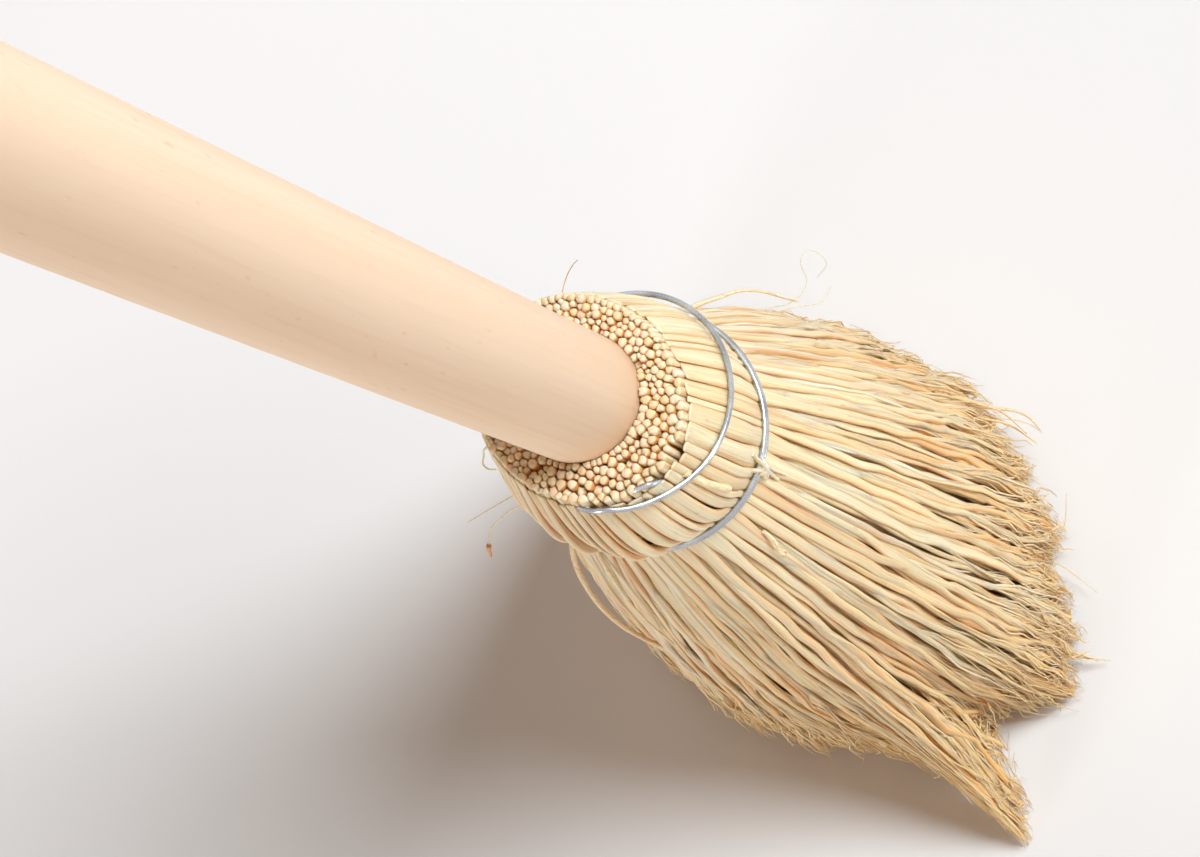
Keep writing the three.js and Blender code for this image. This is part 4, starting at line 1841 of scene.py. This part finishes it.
@dataclass
class Studio:
    """Pale floor, soft lamps and an even, slightly warm surround."""

    target: Vector
    floor_half: float = 4.0
    floor_colour: Colour = (251, 254, 255)
    # Painted shade: the floor's darker tone towards plus X, and where it starts and ends.
    floor_falloff_shade_colour: Colour = (235, 238, 239)
    floor_falloff_span: Span = (-0.24, 0.11)
    floor_rough: float = 0.9
    floor_gloss: float = 0.1
    # A painted soft shadow on the floor beside the broom: its middle, its reach and its darkest level.
    painted_shadow_place: Span = (-0.085, -0.15, 0.0)
    painted_shadow_span: Span = (0.02, 0.15)
    painted_shadow_level: float = 0.82
    plain_span: Span = (0.45, 1.2)
    surround: Span = (0.2, 0.12, 0.075)
    background: Span = (0.95, 0.95, 0.95)
    lamps: tuple[Lamp, ...] = (
        Lamp("key", 61, 50, 2.5, 1.0, 66.5, (0.95, 1.0, 1.045)),
        Lamp("low_side", 22, -6, 0.8, 0.16, 0.75, (1.0, 0.9, 0.78)),
        Lamp("back", 150, 60, 1.3, 0.7, 1.5, (0.97, 1.0, 1.03)),
        Lamp("low_fill", -84, 3, 1.8, 0.6, 14.0, (1.0, 0.96, 0.91)),
    )

    def build(self) -> None:
        """Sets up the floor, the light and the view."""
        self.lay_floor()
        self.light_surround()
        for lamp in self.lamps:
            lamp.build(self.target)
        Viewpoint().build(self.target)
        bpy.context.scene.view_settings.view_transform = "Standard"

    def lay_floor(self) -> None:
        """Lays a pale floor at the tips, with painted shade: darker towards plus X for the lamps' falloff,
        and a painted soft shadow beside the broom.
        """
        clear_selection()
        bpy.ops.mesh.primitive_plane_add(size=2 * self.floor_half)
        floor = bpy.context.object
        floor.name = "floor"
        s = Shader("floor_paper")
        place = s.place()
        # Painted shade: the floor darkens towards plus X, standing in for the lamps' falloff.
        far = s.span(s.make("SeparateXYZ", "X", {"Vector": place}), *self.floor_falloff_span)
        paper = s.blend(far, tint(self.floor_colour), tint(self.floor_falloff_shade_colour))
        # Painted shadow: a soft darker patch on the floor beside the broom, standing in for the broad shadow
        # of the head and stick.
        away = s.make("VectorMath", "Value", {0: place, 1: self.painted_shadow_place}, operation="DISTANCE")
        paper = s.shade(paper, s.span(away, *self.painted_shadow_span, self.painted_shadow_level, 1.0))
        finish = {"Base Color": paper, "Roughness": self.floor_rough, "Specular IOR Level": self.floor_gloss}
        for name, value in finish.items():
            s.feed(s.surface.inputs[name], value)
        self.fade_floor(s, place)
        floor.data.materials.append(s.material)

    def fade_floor(self, s: Shader, place: Socket) -> None:
        """Shows the camera a plain background tone where the floor is far from the broom."""
        away = s.make("VectorMath", "Value", {0: place}, operation="LENGTH")
        seen = s.make("LightPath", "Is Camera Ray", {})
        shares = s.combine("MULTIPLY", s.span(away, *self.plain_span), seen)
        plain = s.make("Emission", "Emission", {"Color": (*self.background, 1.0)})
        mixed = s.make("MixShader", "Shader", {0: shares, 1: s.surface.outputs["BSDF"], 2: plain})
        s.feed(s.tree.nodes["Material Output"].inputs["Surface"], mixed)

    def light_surround(self) -> None:
        """Lights the object evenly, and shows a pale background to the camera and in gloss."""
        world = bpy.data.worlds.new("surround")
        world.use_nodes = True
        bpy.context.scene.world = world
        s = Nodes(world.node_tree)
        rays = [s.make("LightPath", f"Is {kind} Ray", {}) for kind in ("Camera", "Glossy")]
        level = s.blend(s.combine("MAXIMUM", *rays), (*self.surround, 1.0), (*self.background, 1.0))
        s.feed(s.tree.nodes["Background"].inputs["Color"], level)


OUTER_TONES = (
    (244, 242, 222), (241, 230, 191), (239, 233, 206), (235, 218, 168), (242, 228, 197), (230, 212, 166),
    (243, 236, 206), (238, 225, 181),
)
# The inner stalks' own golden tones, made deeper and more orange than the outer ones to stand in for the warm
# shade deep among the stalks: partly painted shade.
INNER_TONES_WITH_SHADE = ((250, 214, 156), (246, 200, 132), (240, 186, 114), (250, 206, 144))
SEED_TONES = ((212, 152, 116), (220, 168, 130))
STRAY_WISPS = (
    Wisp(((116, -2, 100), (116, -1, 115), (115.5, 0.5, 130), (113.5, 3.2, 145), (113, 8.1, 155),
          (115.5, 13.2, 162), (114.5, 16.2, 168), (112.5, 14.4, 172), (115, 10.2, 176)), 0.18, 0.05,
          age=0.35),
    Wisp(((112, -2, 110), (112, 0.5, 128), (111, 2.2, 140), (108.5, 5.1, 152), (109, 9.2, 160)), 0.18, 0.06,
          age=0.35),
    Wisp(((74, -2, 150), (72, -2.0, 168), (67.5, 0.5, 176), (63.5, 6.3, 180), (60.5, 8.0, 182)), 0.3, 0.06,
          age=0.6),
    Wisp(((22, -2, 165), (28, -3, 180), (35, -0.2, 184), (45.5, 6.7, 180)), 0.28, 0.06, age=0.6),
    Wisp(((29, -2, 165), (27.5, -3, 180), (25.5, 2.8, 185), (21.5, 8.0, 187)), 0.3, 0.06, age=0.6),
    Wisp(((1, -3, 168), (3, -0.5, 184), (7, 7.5, 187)), 0.4, 0.12, age=0.7),
    Wisp(((74, -2, 152), (70.5, -0.6, 166), (68, 3.1, 173), (65, 6.9, 178), (61, 8.1, 181)), 0.6, 0.14,
          age=0.75),
    Wisp(((75, -2, 154), (70, 0.9, 165), (66.5, 3.5, 172), (61, 5.1, 178)), 0.55, 0.14, tone=0.1, age=0.7),
    Wisp(((71, -2, 154), (67.5, -1.3, 169), (64, 2.9, 176), (58.5, 5, 181)), 0.5, 0.12, tone=0.6, age=0.9),
    Wisp(((33, -2, 158), (38, -2.5, 170), (43, -1.5, 177), (45.5, 2.4, 181)), 0.6, 0.14, age=0.7),
    Wisp(((36, -2, 160), (38.5, -2, 171), (39, -1, 178), (36, 1.5, 183)), 0.5, 0.12, tone=0.6, age=0.8),
    Wisp(((30, -2, 162), (33, -2, 172), (36, 0, 179), (39, 3, 184)), 0.55, 0.12, tone=0.1, age=0.9),
    Wisp(((-1, -3, 165), (2.5, -2, 176), (4.5, 0.9, 184), (5.5, 5.4, 186)), 0.6, 0.14, age=0.8),
    Wisp(((-5, -3, 168), (1, -1.5, 180), (6.5, 2.7, 185)), 0.5, 0.12, tone=0.6, age=0.9),
    Wisp(((-109, -1.2, 22), (-111, 0.6, 25), (-113, 3.3, 30), (-115, 10.7, 40), (-117.5, 15.1, 50),
          (-116.5, 16.6, 55)), 0.22, 0.14, age=0.3),
    Wisp(((-112, -1.2, 17), (-114, 0.4, 21), (-116.5, 1.9, 25), (-118.5, 9, 30), (-119, 15.5, 35)), 0.2, 0.1,
          age=0.3),
    Wisp(((-120, -1.2, 2), (-123.5, 0.5, 5), (-126.5, 1.6, 10), (-124.5, 2.5, 14), (-122.5, 0.9, 14.5)), 0.24,
          0.14, age=0.3),
    Wisp(((119.5, -2.1, 64), (118.5, 0.1, 72), (114.5, 2.2, 81), (110.5, 4.4, 92), (105, 3.6, 118)), 0.7,
          0.25, tone=0.1, age=0.4),
    Wisp(((-96, -1.5, 34), (-96.5, 0.6, 43), (-97.5, 3.6, 55), (-98, 4.5, 70), (-97, 3.8, 92),
          (-96.5, 0.8, 115), (-96, -1.7, 130), (-95, -2.6, 145)), 0.8, 0.5, tone=0.2, age=0.55),
    Wisp(((-90, -1.5, 38), (-89, 0.4, 46), (-86, 1.5, 60), (-84, 1.8, 80), (-82, 0.4, 100)), 0.6, 0.2,
          tone=0.1, age=0.35),
    Wisp(((-3, -0.2, 6), (-2, 0.25, 11), (-0.5, 0.3, 16), (1, 0.45, 20.5)), 0.8, 0.78, tone=0.15, age=0.2),
    Wisp(((19, 0.0, 31), (17.5, 0.2, 37), (15, 1.4, 42), (13.5, 1.3, 45.5), (13, 0.1, 50)), 0.55, 0.35,
          tone=0.1, age=0.2),
    Wisp(((11, -0.1, 36), (13, 1.4, 41), (15.2, 1.7, 43.2), (15.6, 0.9, 47), (16.4, 0.0, 52)), 0.5, 0.3,
          tone=0.3, age=0.25),
    Wisp(((16.5, 0.5, 41), (14.5, 1.4, 42.4), (12.6, 1.5, 44), (11.4, 0.7, 45.6)), 0.95, 0.7, tone=0.0,
          age=0.2),
    Wisp(((11.5, 0.8, 41.4), (13, 1.7, 43), (15.4, 1.3, 44.6)), 0.8, 0.5, tone=0.25, age=0.2),
    Wisp(((-10.5, 0.0, 54), (-11, 0.9, 57), (-12.8, 1.4, 59), (-13.6, 0.8, 61.5), (-12.6, 0.5, 62.5),
          (-11.8, 0.9, 61)), 0.42, 0.25, tone=0.1, age=0.25),
)
SEED_BITS = (
    Wisp(((-116.6, 16.3, 53.5), (-116.5, 16.7, 55.5), (-116.4, 16.8, 57.5), (-116.4, 16.9, 59)), 0.58, 0.3),
    Wisp(((-5, -3.0, 184), (-5, -2.4, 186.5), (-5.2, -2.2, 188.8)), 0.9, 0.6),
    Wisp(((144, -2.0, 14), (141.5, -0.3, 11), (138.5, 2.5, 11), (130.5, 5.5, 8), (127.5, 6.3, 7)), 0.16,
          0.08),
)
NAIL_TONES = ((150, 150, 152), (96, 96, 100))


def main() -> None:
    """Builds the broom, piece by piece, then the studio."""
    shape = HeadShape.from_frame()
    log.info("head: %s", shape)
    outer = StrawFinish("outer_stalks", OUTER_TONES).build()
    inner = StrawFinish("inner_stalks", INNER_TONES_WITH_SHADE).build()
    pieces = StrawHead(shape, outer, inner).build()
    log.info("straw pieces: %d", len(pieces))
    StrayStraw(shape, "stray_wisps", STRAY_WISPS, outer).build()
    StrayStraw(shape, "seed_bits", SEED_BITS, StrawFinish("seed_skin", SEED_TONES).build()).build()
    Stick(*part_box("handle"), WoodFinish().build()).build()
    wire = SteelFinish("galvanised_wire").build()
    nail = SteelFinish("nail_steel", *NAIL_TONES).build()
    Bindings(shape, wire, nail).build()
    Studio(Vector((*shape.axis, shape.length))).build()


if __name__ == "__main__":
    main()
